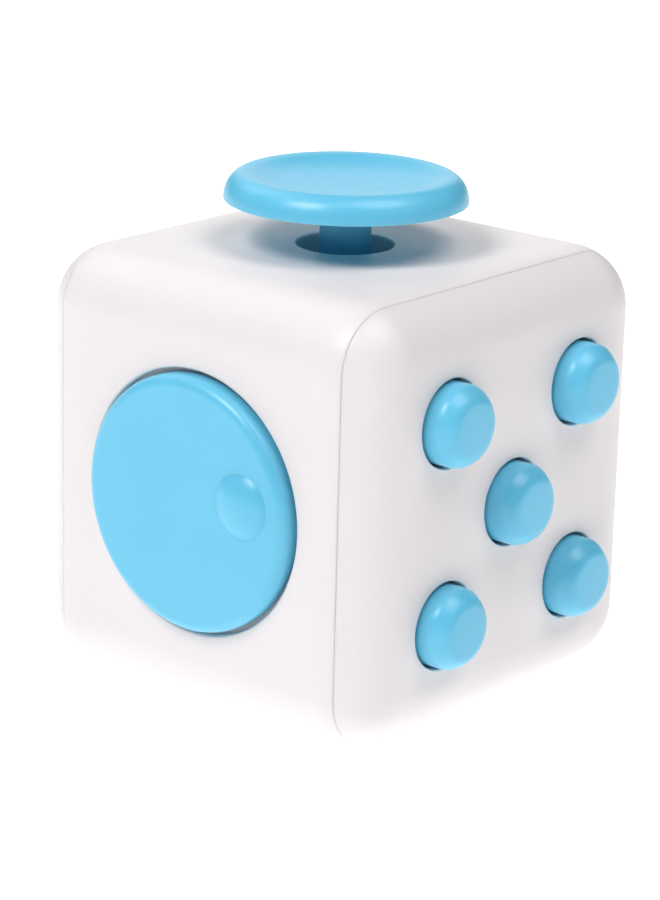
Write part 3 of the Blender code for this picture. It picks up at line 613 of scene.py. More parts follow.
def show(node, shape, squash=None):
    """Makes the shape, in the cube's millimetres, the piece that stands for a CAD node."""
    bmesh.ops.remove_doubles(shape, verts=shape.verts, dist=MERGE_DISTANCE)
    bmesh.ops.recalc_face_normals(shape, faces=shape.faces)
    bmesh.ops.scale(shape, vec=(MM, MM, MM), verts=shape.verts)
    mesh = new_mesh(node + "_fine", shape)
    mesh.shade_smooth()
    mesh.set_sharp_from_angle(angle=SHARP_ANGLE)
    piece = new_object(node + "_fine", mesh)
    normals = piece.modifiers.new("flat_faces_stay_flat", "WEIGHTED_NORMAL")
    normals.keep_sharp = True
    slot = SLOT_OF[node]
    mesh.materials.append(MATERIALS[slot])
    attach(piece, BODY_OF[node])
    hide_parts(node)
    if squash:
        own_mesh(piece)


# ---- materials


def new_material(name):
    material = bpy.data.materials.new(name)
    material.use_nodes = True
    return material, material.node_tree, material.node_tree.nodes["Principled BSDF"]


def set_inputs(node, values):
    for name, value in values.items():
        node.inputs[name].default_value = value


def noise(tree, per_mm, detail=2.0, stretch=(1, 1, 1)):
    """Noise through the piece, with about per_mm features in each millimetre."""
    coordinates = tree.nodes.new("ShaderNodeTexCoord")
    mapping = tree.nodes.new("ShaderNodeMapping")
    texture = tree.nodes.new("ShaderNodeTexNoise")
    set_inputs(mapping, {"Scale": stretch})
    set_inputs(texture, {"Scale": per_mm / MM, "Detail": detail})
    tree.links.new(coordinates.outputs["Object"], mapping.inputs["Vector"])
    tree.links.new(mapping.outputs["Vector"], texture.inputs["Vector"])
    return texture.outputs["Fac"]


def between(tree, share, low, high):
    """A number that runs from low to high as a noise does."""
    node = tree.nodes.new("ShaderNodeMapRange")
    set_inputs(node, {"From Min": NOISE_LOW, "From Max": NOISE_HIGH, "To Min": low, "To Max": high})
    tree.links.new(share, node.inputs["Value"])
    return node.outputs["Result"]


def between_colours(tree, share, first, second):
    node = tree.nodes.new("ShaderNodeMix")
    node.data_type = "RGBA"
    set_inputs(node, {"A": (*first, 1), "B": (*second, 1)})
    tree.links.new(between(tree, share, 0, 1), node.inputs["Factor"])
    return node.outputs["Result"]


def bumps(tree, heights):
    """A chain of bump nodes from (noise, height in millimetres) pairs."""
    normal = None
    for share, height in heights:
        bump = tree.nodes.new("ShaderNodeBump")
        set_inputs(bump, {"Distance": height * MM})
        tree.links.new(share, bump.inputs["Height"])
        if normal:
            tree.links.new(normal, bump.inputs["Normal"])
        normal = bump.outputs["Normal"]
    return normal


def tinted(colour, factor):
    return tuple(channel * factor for channel in colour)


def make_plastic(name, colour, roughness, grain, mottle=0.02, subsurface=0.0):
    """Moulded plastic: a fine grain, faint flow marks, and a little unevenness in colour and gloss."""
    material, tree, shader = new_material(name)
    cloud = noise(tree, CLOUDS_PER_MM)
    tint = between_colours(tree, cloud, tinted(colour, 1 - mottle), tinted(colour, 1 + mottle))
    tree.links.new(tint, shader.inputs["Base Color"])
    patches = noise(tree, GLOSS_PATCHES_PER_MM)
    gloss = between(tree, patches, roughness - GLOSS_SWING, roughness + GLOSS_SWING)
    tree.links.new(gloss, shader.inputs["Roughness"])
    flow = noise(tree, FLOW_MARKS_PER_MM, detail=1.0)
    texture = noise(tree, GRAIN_PER_MM, detail=3.0)
    normal = bumps(tree, [(flow, FLOW_MARK_HEIGHT), (texture, grain)])
    tree.links.new(normal, shader.inputs["Normal"])
    set_inputs(shader, {"IOR": 1.5, "Subsurface Weight": subsurface})
    set_inputs(shader, {"Subsurface Radius": (1, 1, 1), "Subsurface Scale": SCATTER_DEPTH * MM})
    return material


def make_metal(name, colour, roughness, scratches, stretch=(1, 1, 1)):
    """Metal with fine drawn or tumbled marks, and gloss that varies across it."""
    material, tree, shader = new_material(name)
    cloud = noise(tree, TARNISH_PER_MM)
    tint = between_colours(tree, cloud, tinted(colour, TARNISHED), tinted(colour, POLISHED))
    tree.links.new(tint, shader.inputs["Base Color"])
    marks = noise(tree, SCRATCHES_PER_MM, detail=4.0, stretch=stretch)
    gloss = between(tree, marks, roughness * SMOOTHEST, roughness * ROUGHEST)
    tree.links.new(gloss, shader.inputs["Roughness"])
    tree.links.new(bumps(tree, [(marks, scratches)]), shader.inputs["Normal"])
    set_inputs(shader, {"Metallic": 1.0})
    return material


def make_materials():
    materials = {name: make_plastic(name, **look) for name, look in PLASTICS.items()}
    materials.update({name: make_metal(name, **look) for name, look in METALS.items()})
    return materials


# ---- casing


def round_edges(shape, edges, radius, segments):
    bmesh.ops.bevel(shape, geom=edges, offset=radius, segments=segments, profile=0.5, affect="EDGES")


def rounded_cube():
    shape = bmesh.new()
    bmesh.ops.create_cube(shape, size=2 * HALF)
    bmesh.ops.translate(shape, vec=(0, 0, HALF), verts=shape.verts)
    round_edges(shape, shape.edges[:], EDGE_RADIUS, FILLET_SEGMENTS)
    return shape


def shell(low, high):
    """The stretch of the rounded cube between two places along X. Its cut edges are just broken."""
    shape = rounded_cube()
    for side, place in ((-1, low), (1, high)):
        if abs(place) >= HALF:
            continue
        everything = shape.verts[:] + shape.edges[:] + shape.faces[:]
        sliced = bmesh.ops.bisect_plane(
            shape, geom=everything, plane_co=(place, 0, 0), plane_no=(side, 0, 0), clear_outer=True
        )
        rim = [item for item in sliced["geom_cut"] if isinstance(item, bmesh.types.BMEdge)]
        bmesh.ops.contextual_create(shape, geom=rim)
        round_edges(shape, rim, RIM_EDGE, segments=2)
    return shape


def cavity(low, high):
    """The hollow inside the casing along Z, which leaves a solid block in each of its four corners."""
    outline = []
    for side, level in ((1, 1), (-1, 1), (-1, -1), (1, -1)):
        corner = [(INSIDE, CORNER_BLOCK), (CORNER_BLOCK, CORNER_BLOCK), (CORNER_BLOCK, INSIDE)]
        if side * level < 0:
            corner.reverse()
        outline += [(side * x, level * y) for x, y in corner]
    return prism(soften(outline, CAVITY_CORNER, closed=True), low, high)


def cylinders(face, places, radius, low, high, edge=0.0):
    return [placed(cylinder(radius, low, high, edge), face, place) for place in places]


def pegs_and_tabs(face):
    """What a cover pushes into the main housing: four round pegs and four locating tabs."""
    shapes = []
    rim = -COVER_DEPTH
    for place in PEG_PLACES:
        profile = [
            (0, rim - PEG_LENGTH),
            (PEG_RADIUS, rim - PEG_LENGTH, PEG_CORNER),
            (PEG_RADIUS, rim + OVERCUT),
            (0, rim + OVERCUT),
        ]
        shapes.append(placed(turned(soften(profile)), face, place))
    outer = INSIDE - TAB_CLEARANCE
    for number in range(4):
        low = (-TAB_WIDTH / 2, outer - TAB_THICKNESS, rim - TAB_LENGTH)
        tab = block(low, (TAB_WIDTH / 2, outer, -WALL + OVERCUT), EDGE)
        shapes.append(placed(tab, face, turn=Matrix.Rotation(number * pi / 2, 4, "Z")))
    return shapes


def bosses(face, places, end):
    return cylinders(face, places, BOSS_RADIUS, end, -WALL + WALL_BITE, BOSS_EDGE)


def pilots(face, places, radius, end, depth):
    """Cutters for blind pilot holes, from just under a boss's end."""
    return cylinders(face, places, radius, end - OVERCUT, end + depth, CRISP_EDGE)


def across_slot(face, place, radius, half_width, corner, lip):
    """Cutters for the slot that a wheel or a rocker turns in: a round bar across the face, and its lip."""
    bar = placed(cylinder(radius, -half_width, half_width, corner), face, place, ACROSS)
    half_height = sqrt(radius**2 - (place[2] + lip) ** 2)
    mouth = rectangle(half_width, half_height, corner, place[:2])
    return [bar, placed(lipped(mouth, -lip, lip), face)]


def oval(shape):
    bmesh.ops.scale(shape, vec=(1, DISH_HALF_WIDTH / DISH_HALF_LENGTH, 1), verts=shape.verts)
    return shape


def bowl(depth, rim_height, radius, reach, steps=24, power=2):
    """The half section of a shallow bowl, out to reach. A higher power flattens its floor."""
    curve = []
    for step in range(steps + 1):
        share = reach / radius * step / steps
        curve.append((radius * share, depth + (rim_height - depth) * share**power))
    return curve


def dish_shapes():
    """The thumb dish's cutter, whose rim rolls over into the face, and the thicker wall behind it."""
    slope = atan2(2 * DISH_DEPTH, DISH_HALF_LENGTH)
    centre = (DISH_HALF_LENGTH + DISH_RIM * tan(slope / 2), -DISH_RIM)
    rim = arc(centre, DISH_RIM, 90 + degrees(slope), 91, DISH_RIM_STEPS)
    profile = bowl(-DISH_DEPTH, 0, DISH_HALF_LENGTH, rim[0][0])[:-1] + rim
    profile += [(rim[-1][0] + DISH_FLARE, CUTTER_RISE), (0, CUTTER_RISE)]
    dish = placed(oval(turned(profile)), BREATHE)
    backing_top = -WALL + DISH_BACKING_BITE
    backing = bowl(-DISH_DEPTH - DISH_FLOOR, backing_top, DISH_HALF_LENGTH, DISH_HALF_LENGTH)
    backing.append((0, backing_top))
    return dish, placed(oval(turned(backing)), BREATHE)


def ears(face, inner, outer, low, half_height, place):
    """Two blocks under a wall that hold the ends of a pin or an axle."""
    shapes = []
    for side in (-1, 1):
        near, far = sorted((side * inner, side * outer))
        high_corner = (far, place + half_height, -WALL + WALL_BITE)
        ear = block((near, place - half_height, low), high_corner, EASED_EDGE)
        shapes.append(placed(ear, face))
    return shapes


def build_housing():
    seat = Span("joystick_spring_seat", GLIDE)
    leaf = Span("rocker_leaf_spring", FLIP)
    leaf_screws = places_of(LEAF_SCREWS, FLIP)
    seat_screws = places_of(SEAT_SCREWS, GLIDE)
    seat_end = seat.high + TOUCH
    post_end = leaf.high - LEAF_CREST + TOUCH

    housing = shell(-HOUSING_END, HOUSING_END)
    housing = combined("DIFFERENCE", housing, [placed(cavity(-2 * HALF - OVERCUT, OVERCUT), CLICK)])
    dish, backing = dish_shapes()
    added = bosses(GLIDE, seat_screws, seat_end)
    added += ears(FLIP, EAR_INNER, EAR_OUTER, EAR_DEPTH, EAR_HALF_HEIGHT, 0)
    for x, y, _ in leaf_screws:
        half = LEAF_POST_HALF
        post = block((x - half, y - half, post_end), (x + half, y + half, -WALL + WALL_BITE), EASED_EDGE)
        added.append(placed(post, FLIP))
    housing = combined("UNION", housing, [*added, backing])

    cutters = [dish]
    cutters.append(placed(lipped(circle(STICK_HOLE_RADIUS), -WALL - OVERCUT, LIP), GLIDE))
    cutters.append(placed(lipped(circle(RECESS_RADIUS), -RECESS_DEPTH, LIP), SPIN))
    cutters.append(placed(cylinder(HUB_BORE_RADIUS, -WALL - OVERCUT, 0), SPIN))
    pivot = (0, 0, PIVOT_DEPTH)
    cutters += across_slot(
        FLIP, pivot, ROCKER_SLOT_RADIUS, ROCKER_SLOT_HALF_WIDTH, ROCKER_SLOT_CORNER, LIP
    )
    reach = EAR_OUTER + OVERCUT
    cutters.append(placed(cylinder(PIN_EAR_HOLE_RADIUS, -reach, reach), FLIP, pivot, ACROSS))
    cutters += pilots(GLIDE, seat_screws, SMALL_PILOT_RADIUS, seat_end, SMALL_PILOT_DEPTH)
    cutters += pilots(FLIP, leaf_screws, LEAF_PILOT_RADIUS, post_end, LEAF_PILOT_DEPTH)
    for face in (CLICK, ROLL):
        cutters += cylinders(face, PEG_PLACES, PEG_SOCKET_RADIUS, -COVER_DEPTH - PEG_SOCKET_DEPTH, 0)
    show("main_housing", combined("DIFFERENCE", housing, cutters))


def cover(face, low, high):
    solid = combined("DIFFERENCE", shell(low, high), [placed(cavity(-COVER_DEPTH - OVERCUT, -WALL), face)])
    return solid, pegs_and_tabs(face)


def build_click_cover():
    screws = places_of(CLICK_SCREWS, CLICK)
    end = Span("click_carrier", CLICK).high + TOUCH
    solid, added = cover(CLICK, COVER_START, HALF)
    solid = combined("UNION", solid, added + bosses(CLICK, screws, end))
    cutters = pilots(CLICK, screws, SMALL_PILOT_RADIUS, end, CLICK_PILOT_DEPTH)
    for name in BUTTONS:
        hole = lipped(circle(BUTTON_HOLE_RADIUS), -WALL - OVERCUT, FINE_LIP)
        cutters.append(placed(hole, CLICK, Span(f"button_{name}", CLICK).place))
    show("click_cover", combined("DIFFERENCE", solid, cutters))


def build_roll_cover():
    screws = places_of(ROLL_SCREWS, ROLL)
    end = Span("roll_carrier", ROLL).low + ROLL_PLATE_THICKNESS + TOUCH
    axle = Span("gear_axle", ROLL)
    ball = Span("roll_ball", ROLL)
    solid, added = cover(ROLL, -HALF, -COVER_START)
    added += bosses(ROLL, screws, end)
    added += ears(ROLL, AXLE_EAR_INNER, AXLE_EAR_OUTER, AXLE_EAR_DEPTH, AXLE_EAR_HALF_HEIGHT, axle.y)
    solid = combined("UNION", solid, added)
    cutters = pilots(ROLL, screws, SMALL_PILOT_RADIUS, end, SMALL_PILOT_DEPTH)
    for number in (1, 2, 3):
        gear = Span(f"roll_gear_{number}", ROLL)
        place = (gear.x, axle.y, axle.middle)
        cutters += across_slot(
            ROLL, place, GEAR_SLOT_RADIUS, GEAR_SLOT_HALF_WIDTH, GEAR_SLOT_CORNER, FINE_LIP
        )
    reach = AXLE_EAR_OUTER + OVERCUT
    hole = cylinder(AXLE_EAR_HOLE_RADIUS, -reach, reach)
    cutters.append(placed(hole, ROLL, (0, axle.y, axle.middle), ACROSS))
    cutters.append(placed(sphere(BALL_SOCKET_RADIUS), ROLL, (ball.x, ball.y, ball.middle)))
    mouth = circle(sqrt(BALL_SOCKET_RADIUS**2 - (ball.middle + FINE_LIP) ** 2))
    cutters.append(placed(lipped(mouth, -FINE_LIP, FINE_LIP), ROLL, ball.place))
    show("roll_cover", combined("DIFFERENCE", solid, cutters))


# ---- click side


def build_button(name):
    node = f"button_{name}"
    span = Span(node, CLICK)
    flange_end = BUTTON_FLANGE_TOP - BUTTON_FLANGE_THICKNESS
    profile = [
        (0, span.high),
        (BUTTON_FLAT_RADIUS, span.high, BUTTON_CROWN_ROUNDING),
        (BUTTON_RADIUS, span.high - BUTTON_SHOULDER, BUTTON_SHOULDER_ROUNDING),
        (BUTTON_RADIUS, BUTTON_FLANGE_TOP, 0),
        (span.radius, BUTTON_FLANGE_TOP, EDGE),
        (span.radius, flange_end, EDGE),
        (BUTTON_STUB_RADIUS, flange_end, CRISP_EDGE),
        (BUTTON_STUB_RADIUS, span.low, BUTTON_STUB_END),
        (0, span.low),
    ]
    show(node, placed(turned(soften(profile)), CLICK, span.place))
    if name in SNAPPING:
        build_dome(f"snap_dome_{name}", CLICK, f"press_{name}")
    else:
        build_silent_spring(name)


def build_dome(node, face, joint):
    """A snap dome: a thin domed shell whose foot rests on its plate."""
    span = Span(node, face)
    height = span.high - span.low
    inner_radius = span.radius - DOME_THICKNESS
    inner_height = height - DOME_THICKNESS
    quarter = arc((0, 0), 1.0, 90, 0, DOME_STEPS)
    profile = [(x * span.radius, span.low + y * height) for x, y in quarter]
    profile += [(x * inner_radius, span.low + y * inner_height) for x, y in reversed(quarter)]
    anchor = (face @ Vector((span.x, span.y, span.low))) * MM
    squash = {"joint": joint, "axis": PRESS_AXIS, "anchor": anchor, "keep": DOME_KEEP}
    show(node, placed(turned(profile), face, span.place), squash)


def coil(low, high, turns, wire, end_turns=END_TURNS):
    """A wire coil about Z between two (radius, height) ends, whose end turns lie nearly flat."""
    steps = turns * COIL_STEPS
    spins = [2 * pi * side / WIRE_SIDES for side in range(WIRE_SIDES)]
    rings = []
    for step in range(steps + 1):
        share = step / steps
        turn = turns * share
        rise = min(max((turn - end_turns) / (turns - 2 * end_turns), 0), 1)
        flat_turns = min(turn, end_turns) + max(turn - turns + end_turns, 0)
        rise = rise * (1 - END_RISE) + flat_turns / (2 * end_turns) * END_RISE
        radius = low[0] + (high[0] - low[0]) * share
        height = low[1] + (high[1] - low[1]) * rise
        angle = 2 * pi * turn
        outward = Vector((cos(angle), sin(angle), 0))
        centre = outward * radius + Vector((0, 0, height))
        rings.append([
            centre + outward * cos(spin) * wire / 2 + Vector((0, 0, sin(spin) * wire / 2)) for spin in spins
        ])
    return loft(rings)


def build_silent_spring(name):
    node = f"silent_spring_{name}"
    span = Span(node, CLICK)
    button = Span(f"button_{name}", CLICK)
    radius = span.radius - SILENT_WIRE / 2
    low = (radius, span.low + SILENT_WIRE / 2)
    high = (radius, span.high - SILENT_WIRE / 2)
    anchor = (CLICK @ Vector((button.x, button.y, span.low))) * MM
    squash = {"joint": f"press_{name}", "axis": PRESS_AXIS, "anchor": anchor, "keep": SILENT_KEEP}
    show(node, placed(coil(low, high, SILENT_TURNS, SILENT_WIRE), CLICK, button.place), squash)


def build_click_carrier():
    span = Span("click_carrier", CLICK)
    outline = rectangle(span.half_x, span.half_y, CLICK_PLATE_CORNER)
    plate = placed(prism(outline, span.low, span.high, EDGE), CLICK)
    show("click_carrier", screwed(plate, CLICK, CLICK_SCREWS, SMALL_SCREW, span.low, span.high))


# ---- screws


def threaded_bar(radius, low, high):
    """A bar with a helical thread, whose tip is tapered."""
    rows = ceil((high - low) / THREAD_PITCH * THREAD_ROWS)
    taper = TIP_TAPER * radius
    rings = []
    for row in range(rows + 1):
        height = low + (high - low) * row / rows
        fade = min(max((high - height) / taper, TIP_SHARE), 1)
        ring = []
        for side in range(THREAD_SIDES):
            angle = 2 * pi * side / THREAD_SIDES
            phase = ((height - low) / THREAD_PITCH - side / THREAD_SIDES) % 1
            crest = THREAD_DEPTH * (1 - abs(2 * phase - 1) * 2)
            reach = (radius + min(crest, THREAD_DEPTH * THREAD_CREST)) * fade
            ring.append((reach * cos(angle), reach * sin(angle), height))
        rings.append(ring)
    return loft(rings)


def build_screw(node, face, kind):
    """A pan-head screw with a cross recess. Its head is at the low end, away from the face."""
    shank_radius, head_height = kind
    span = Span(node, face)
    neck = span.low + head_height
    head_profile = [
        (0, span.low),
        (span.radius, span.low, head_height * HEAD_ROUNDING),
        (span.radius, neck, NECK_EDGE),
        (0, neck),
    ]
    head = turned(soften(head_profile))
    shank = threaded_bar(shank_radius - SHANK_INSET, neck - SHANK_ROOT, span.high)
    screw = combined("UNION", head, [shank])
    recess = []
    arm = span.radius * CROSS_ARM
    floor = rectangle(arm * CROSS_FLOOR_SHARE, CROSS_FLOOR_HALF, 0)
    mouth = rectangle(arm, CROSS_MOUTH_HALF, 0)
    for turn in (0, pi / 2):
        rings = [
            [(*point, span.low + head_height * CROSS_DEPTH) for point in floor],
            [(*point, span.low - CROSS_RISE) for point in mouth],
        ]
        wedge = loft(rings)
        bmesh.ops.rotate(wedge, matrix=Matrix.Rotation(turn, 3, "Z"), verts=wedge.verts)
        recess.append(wedge)
    show(node, placed(combined("DIFFERENCE", screw, recess), face, span.place))


def screwed(plate, face, screws, kind, low, high):
    """The plate with a clearance hole for each of its screws, which are built as well."""
    radius = kind[0] + PILOT_CLEARANCE
    holes = cylinders(face, places_of(screws, face), radius, low - OVERCUT, high + OVERCUT)
    for node in screws:
        build_screw(node, face, kind)
    return combined("DIFFERENCE", plate, holes)


def build_ring(node, face, inner, edge):
    """A flat ring as thick and as wide as its CAD node."""
    span = Span(node, face)
    show(node, placed(tube(inner, span.radius, span.low, span.high, edge), face))


# ---- glide side


def stick_profile(span):
    """The stick's half section: down from the middle of its dish, round the cap, and down the stem."""
    rim = span.radius
    dish = CAP_DISH_RADIUS
    profile = bowl(CAP_DISH_HEIGHT, span.high - CAP_DISH_DROP, dish, dish, CAP_DISH_STEPS, CAP_DISH_POWER)
    rise = span.high - CAP_RIM_HEIGHT
    reach = rim - CAP_CREST_RADIUS
    for step in range(CAP_EDGE_STEPS + 1):
        angle = pi / 2 * step / CAP_EDGE_STEPS
        profile.append((CAP_CREST_RADIUS + reach * sin(angle), CAP_RIM_HEIGHT + rise * cos(angle)))
    ceiling = CAP_RIM_HEIGHT + CAP_HOLLOW
    under = [
        (rim, CAP_RIM_HEIGHT),
        (rim - CAP_SKIRT, CAP_RIM_HEIGHT, EDGE),
        (rim - CAP_SKIRT_FOOT, ceiling, CAP_SKIRT_CORNER),
        (STEM_RADIUS, ceiling, STEM_FILLET),
        (STEM_RADIUS, span.low, EASED_EDGE),
        (0, span.low),
    ]
    return profile + soften(under)[1:]


def build_glide_side():
    span = Span("joystick", GLIDE)
    stick = placed(turned(stick_profile(span)), GLIDE)
    pilot = pilots(GLIDE, [span.place], STICK_PILOT_RADIUS, span.low, STICK_PILOT_DEPTH)
    show("joystick", combined("DIFFERENCE", stick, pilot))

    build_ring("joystick_flange", GLIDE, STICK_PILOT_RADIUS, RING_EDGE)
    build_screw("joystick_screw", GLIDE, STICK_SCREW)
    build_ring("joystick_washer", GLIDE, SLIP_WASHER_INNER, SLIP_WASHER_EDGE)

    spring = Span("joystick_spring", GLIDE)
    low = (CONE_SPRING_BOTTOM_RADIUS, spring.low + CONE_WIRE / 2)
    high = (CONE_SPRING_TOP_RADIUS, spring.high - CONE_WIRE / 2)
    show("joystick_spring", placed(coil(low, high, CONE_TURNS, CONE_WIRE, CONE_END_TURNS), GLIDE))
    build_spring_seat()


def build_spring_seat():
    """The plate under the spring, with two ears that screw to the bosses of the top wall."""
    span = Span("joystick_spring_seat", GLIDE)
    disc = cylinder(SEAT_RADIUS, span.low, span.high, EDGE)
    outline = rectangle(SEAT_REACH + SEAT_EAR_RADIUS, SEAT_EAR_RADIUS, SEAT_EAR_CORNER)
    bar = prism(outline, span.low, span.high, EDGE)
    turn = Matrix.Rotation(SEAT_ANGLE, 4, "Z")
    seat = combined("UNION", placed(disc, GLIDE), [placed(bar, GLIDE, turn=turn)])
    show("joystick_spring_seat", screwed(seat, GLIDE, SEAT_SCREWS, SMALL_SCREW, span.low, span.high))


# ---- spin side


def nub_profile(rise):
    """A low round nub: the top of an ellipse, cut off where it is NUB_RADIUS wide."""
    across = NUB_RADIUS / sin(NUB_SWEEP)
    up = rise / (1 - cos(NUB_SWEEP))
    angles = [NUB_SWEEP * step / NUB_STEPS for step in range(NUB_STEPS + 1)]
    return [(across * sin(angle), up * (cos(angle) - cos(NUB_SWEEP))) for angle in angles]


def build_spin_side():
    span = Span("spin_dial", SPIN)
    profile = [
        (0, DIAL_RISE),
        (span.radius, DIAL_RISE, DIAL_EDGE),
        (span.radius, DIAL_BACK, EDGE),
        (HUB_RADIUS, DIAL_BACK, CRISP_EDGE),
        (HUB_RADIUS, span.low, EASED_EDGE),
        (0, span.low),
    ]
    dial = placed(turned(soften(profile)), SPIN)
    nub = [(x, DIAL_RISE + y) for x, y in nub_profile(span.high - DIAL_RISE)]
    nub += [(nub[-1][0], NUB_ROOT), (0, NUB_ROOT)]
    dial = combined("UNION", dial, [placed(turned(nub), SPIN, (*NUB_PLACE, 0))])
    pilot = cylinder(SMALL_PILOT_RADIUS, span.low - OVERCUT, HUB_PILOT_END, CRISP_EDGE)
    show("spin_dial", combined("DIFFERENCE", dial, [placed(pilot, SPIN)]))

    build_ring("dial_retainer", SPIN, SMALL_PILOT_RADIUS, RING_EDGE)
    build_screw("dial_screw", SPIN, SMALL_SCREW)

    washer = Span("dial_wave_washer", SPIN)
    half = WAVE_THICKNESS / 2
    wave = tube(WAVE_INNER, washer.radius, washer.middle - half, washer.middle + half, WAVE_EDGE)
    for point in wave.verts:
        point.co.z += WAVE_SWING * cos(WAVE_COUNT * atan2(point.co.y, point.co.x))
    show("dial_wave_washer", placed(wave, SPIN))


# ---- flip side


def rocker_outline():
    """The rocker's side view, with its pivot at the origin, X up the face and Y out of it.

    Its face is a shallow V and its ends are round about the pivot.
    """
    slope = tan(THROW)
    valley = ROCKER_VALLEY - PIVOT_DEPTH
    radius = ROCKER_END_RADIUS
    steepness = 1 + slope * slope
    corner = (sqrt(radius**2 * steepness - valley**2) - valley * slope) / steepness
    top = degrees(atan2(valley + slope * corner, corner))
    skirt = degrees(asin(ROCKER_SKIRT / radius))
    end = arc((0, 0), radius, skirt, top, ROCKER_END_STEPS)
    foot = [(*point, ROCKER_FOOT_CORNER) for point in ROCKER_FOOT]
    half = [*foot, (*end[0], ROCKER_EDGE), *end[1:-1], (*end[-1], ROCKER_EDGE)]
    mirrored = [(-point[0], *point[1:]) for point in reversed(half)]
    return soften([*half, (0, valley, ROCKER_VALLEY_ROUNDING), *mirrored], closed=True)


def build_flip_side():
    pivot = (0, 0, PIVOT_DEPTH)
    span = Span("flip_rocker", FLIP)
    at_rest = ACROSS @ Matrix.Rotation(-THROW, 4, "Z")
    half_width = span.half_x
    body = placed(prism(rocker_outline(), -half_width, half_width, ROCKER_EDGE), FLIP, pivot, at_rest)
    side = [(NOSE_TIP_HALF, -NOSE_REACH), NOSE_CHEEK, (NOSE_ROOT_HALF, NOSE_ROOT)]
    tip = [(-NOSE_TIP_HALF, -NOSE_REACH), *side]
    outline = soften(tip + [(-x, y) for x, y in reversed(side[1:])], CRISP_EDGE, closed=True)
    inset = half_width - NOSE_INSET
    nose = placed(prism(outline, -inset, inset, NOSE_EDGE), FLIP, pivot, at_rest)
    rocker = combined("UNION", body, [nose])
    bore = cylinder(PIN_HOLE_RADIUS, -half_width - OVERCUT, half_width + OVERCUT)
    show("flip_rocker", combined("DIFFERENCE", rocker, [placed(bore, FLIP, pivot, ACROSS)]))

    pin = Span("rocker_pin", FLIP)
    bar = cylinder(pin.half_y, -pin.half_x, pin.half_x, EASED_EDGE)
    show("rocker_pin", placed(bar, FLIP, pivot, ACROSS))
    build_leaf_spring()


def build_leaf_spring():
    """A strip with a crest in its middle, which the rocker's nose snaps across."""
    span = Span("rocker_leaf_spring", FLIP)
    top = span.high - LEAF_CREST
    crest = []
    for step in range(LEAF_STEPS + 1):
        share = 2 * step / LEAF_STEPS - 1
        crest.append((LEAF_CREST_HALF * share, top + LEAF_CREST * (1 + cos(pi * share)) / 2))
    upper = [(-span.half_y, top), *crest, (span.half_y, top)]
    outline = [(x, y - LEAF_THICKNESS) for x, y in upper] + upper[::-1]
    strip = placed(prism(outline, -span.half_x, span.half_x, LEAF_EDGE), FLIP, turn=ACROSS)
    show("rocker_leaf_spring", screwed(strip, FLIP, LEAF_SCREWS, LEAF_SCREW, span.low, span.high))


# ---- roll side


def gear_outline():
    """Teeth with flat tips and sloping sides, whose corners are just broken."""
    points = []
    pitch = 2 * pi / GEAR_TEETH
    for tooth in range(GEAR_TEETH):
        corners = (
            (GEAR_ROOT_RADIUS, -TOOTH_ROOT_SHARE),
            (GEAR_TIP_RADIUS, -TOOTH_TIP_SHARE),
            (GEAR_TIP_RADIUS, TOOTH_TIP_SHARE),
            (GEAR_ROOT_RADIUS, TOOTH_ROOT_SHARE),
        )
        for radius, share in corners:
            angle = (tooth + share) * pitch
            points.append((radius * cos(angle), radius * sin(angle), TOOTH_CORNER))
    return soften(points, closed=True)


def build_roll_side():
    axle = Span("gear_axle", ROLL)
    for number in (1, 2, 3):
        node = f"roll_gear_{number}"
        span = Span(node, ROLL)
        place = (span.x, axle.y, axle.middle)
        wheel = prism(gear_outline(), -span.half_x, span.half_x, CRISP_EDGE)
        bore = cylinder(GEAR_BORE_RADIUS, -span.half_x - OVERCUT, span.half_x + OVERCUT)
        wheel = placed(wheel, ROLL, place, ACROSS)
        show(node, combined("DIFFERENCE", wheel, [placed(bore, ROLL, place, ACROSS)]))
    bar = cylinder(axle.half_y, -axle.half_x, axle.half_x, EASED_EDGE)
    show("gear_axle", placed(bar, ROLL, (axle.x, axle.y, axle.middle), ACROSS))
    build_ball()


def build_ball():
    """The ball, the cup that it rolls in, and the dome and carrier behind the cup."""
    span = Span("roll_ball", ROLL)
    depth = span.middle
    show("roll_ball", placed(sphere(span.high - depth), ROLL, (span.x, span.y, depth)))

    cup = Span("ball_cup", ROLL)
    rim_angle = degrees(asin((CUP_RIM - depth) / BALL_SOCKET_RADIUS))
    seat = arc((0, depth), BALL_SOCKET_RADIUS, -90, rim_angle, CUP_STEPS)
    outer = [
        seat[-1],
        (cup.radius, CUP_RIM, CUP_RIM_EDGE),
        (cup.radius, CUP_BOTTOM, EASED_EDGE),
        (CUP_STUB_RADIUS, CUP_BOTTOM, CRISP_EDGE),
        (CUP_STUB_RADIUS, cup.low, EDGE),
        (0, cup.low),
    ]
    show("ball_cup", placed(turned(seat + soften(outer)[1:]), ROLL, cup.place))
    build_dome("ball_dome", ROLL, "ball_press")
    build_roll_carrier()


def build_roll_carrier():
    span = Span("roll_carrier", ROLL)
    top = span.low + ROLL_PLATE_THICKNESS
    outline = rectangle(span.half_x, span.half_y, ROLL_PLATE_CORNER)
    plate = prism(outline, span.low, top, EDGE)
    sleeve = tube(SLEEVE_INNER, SLEEVE_OUTER, top - SLEEVE_ROOT, span.high, CRISP_EDGE)
    carrier = combined("UNION", placed(plate, ROLL, span.place), [placed(sleeve, ROLL, span.place)])
    show("roll_carrier", screwed(carrier, ROLL, ROLL_SCREWS, SMALL_SCREW, span.low, top))


# ---- stage, light and camera


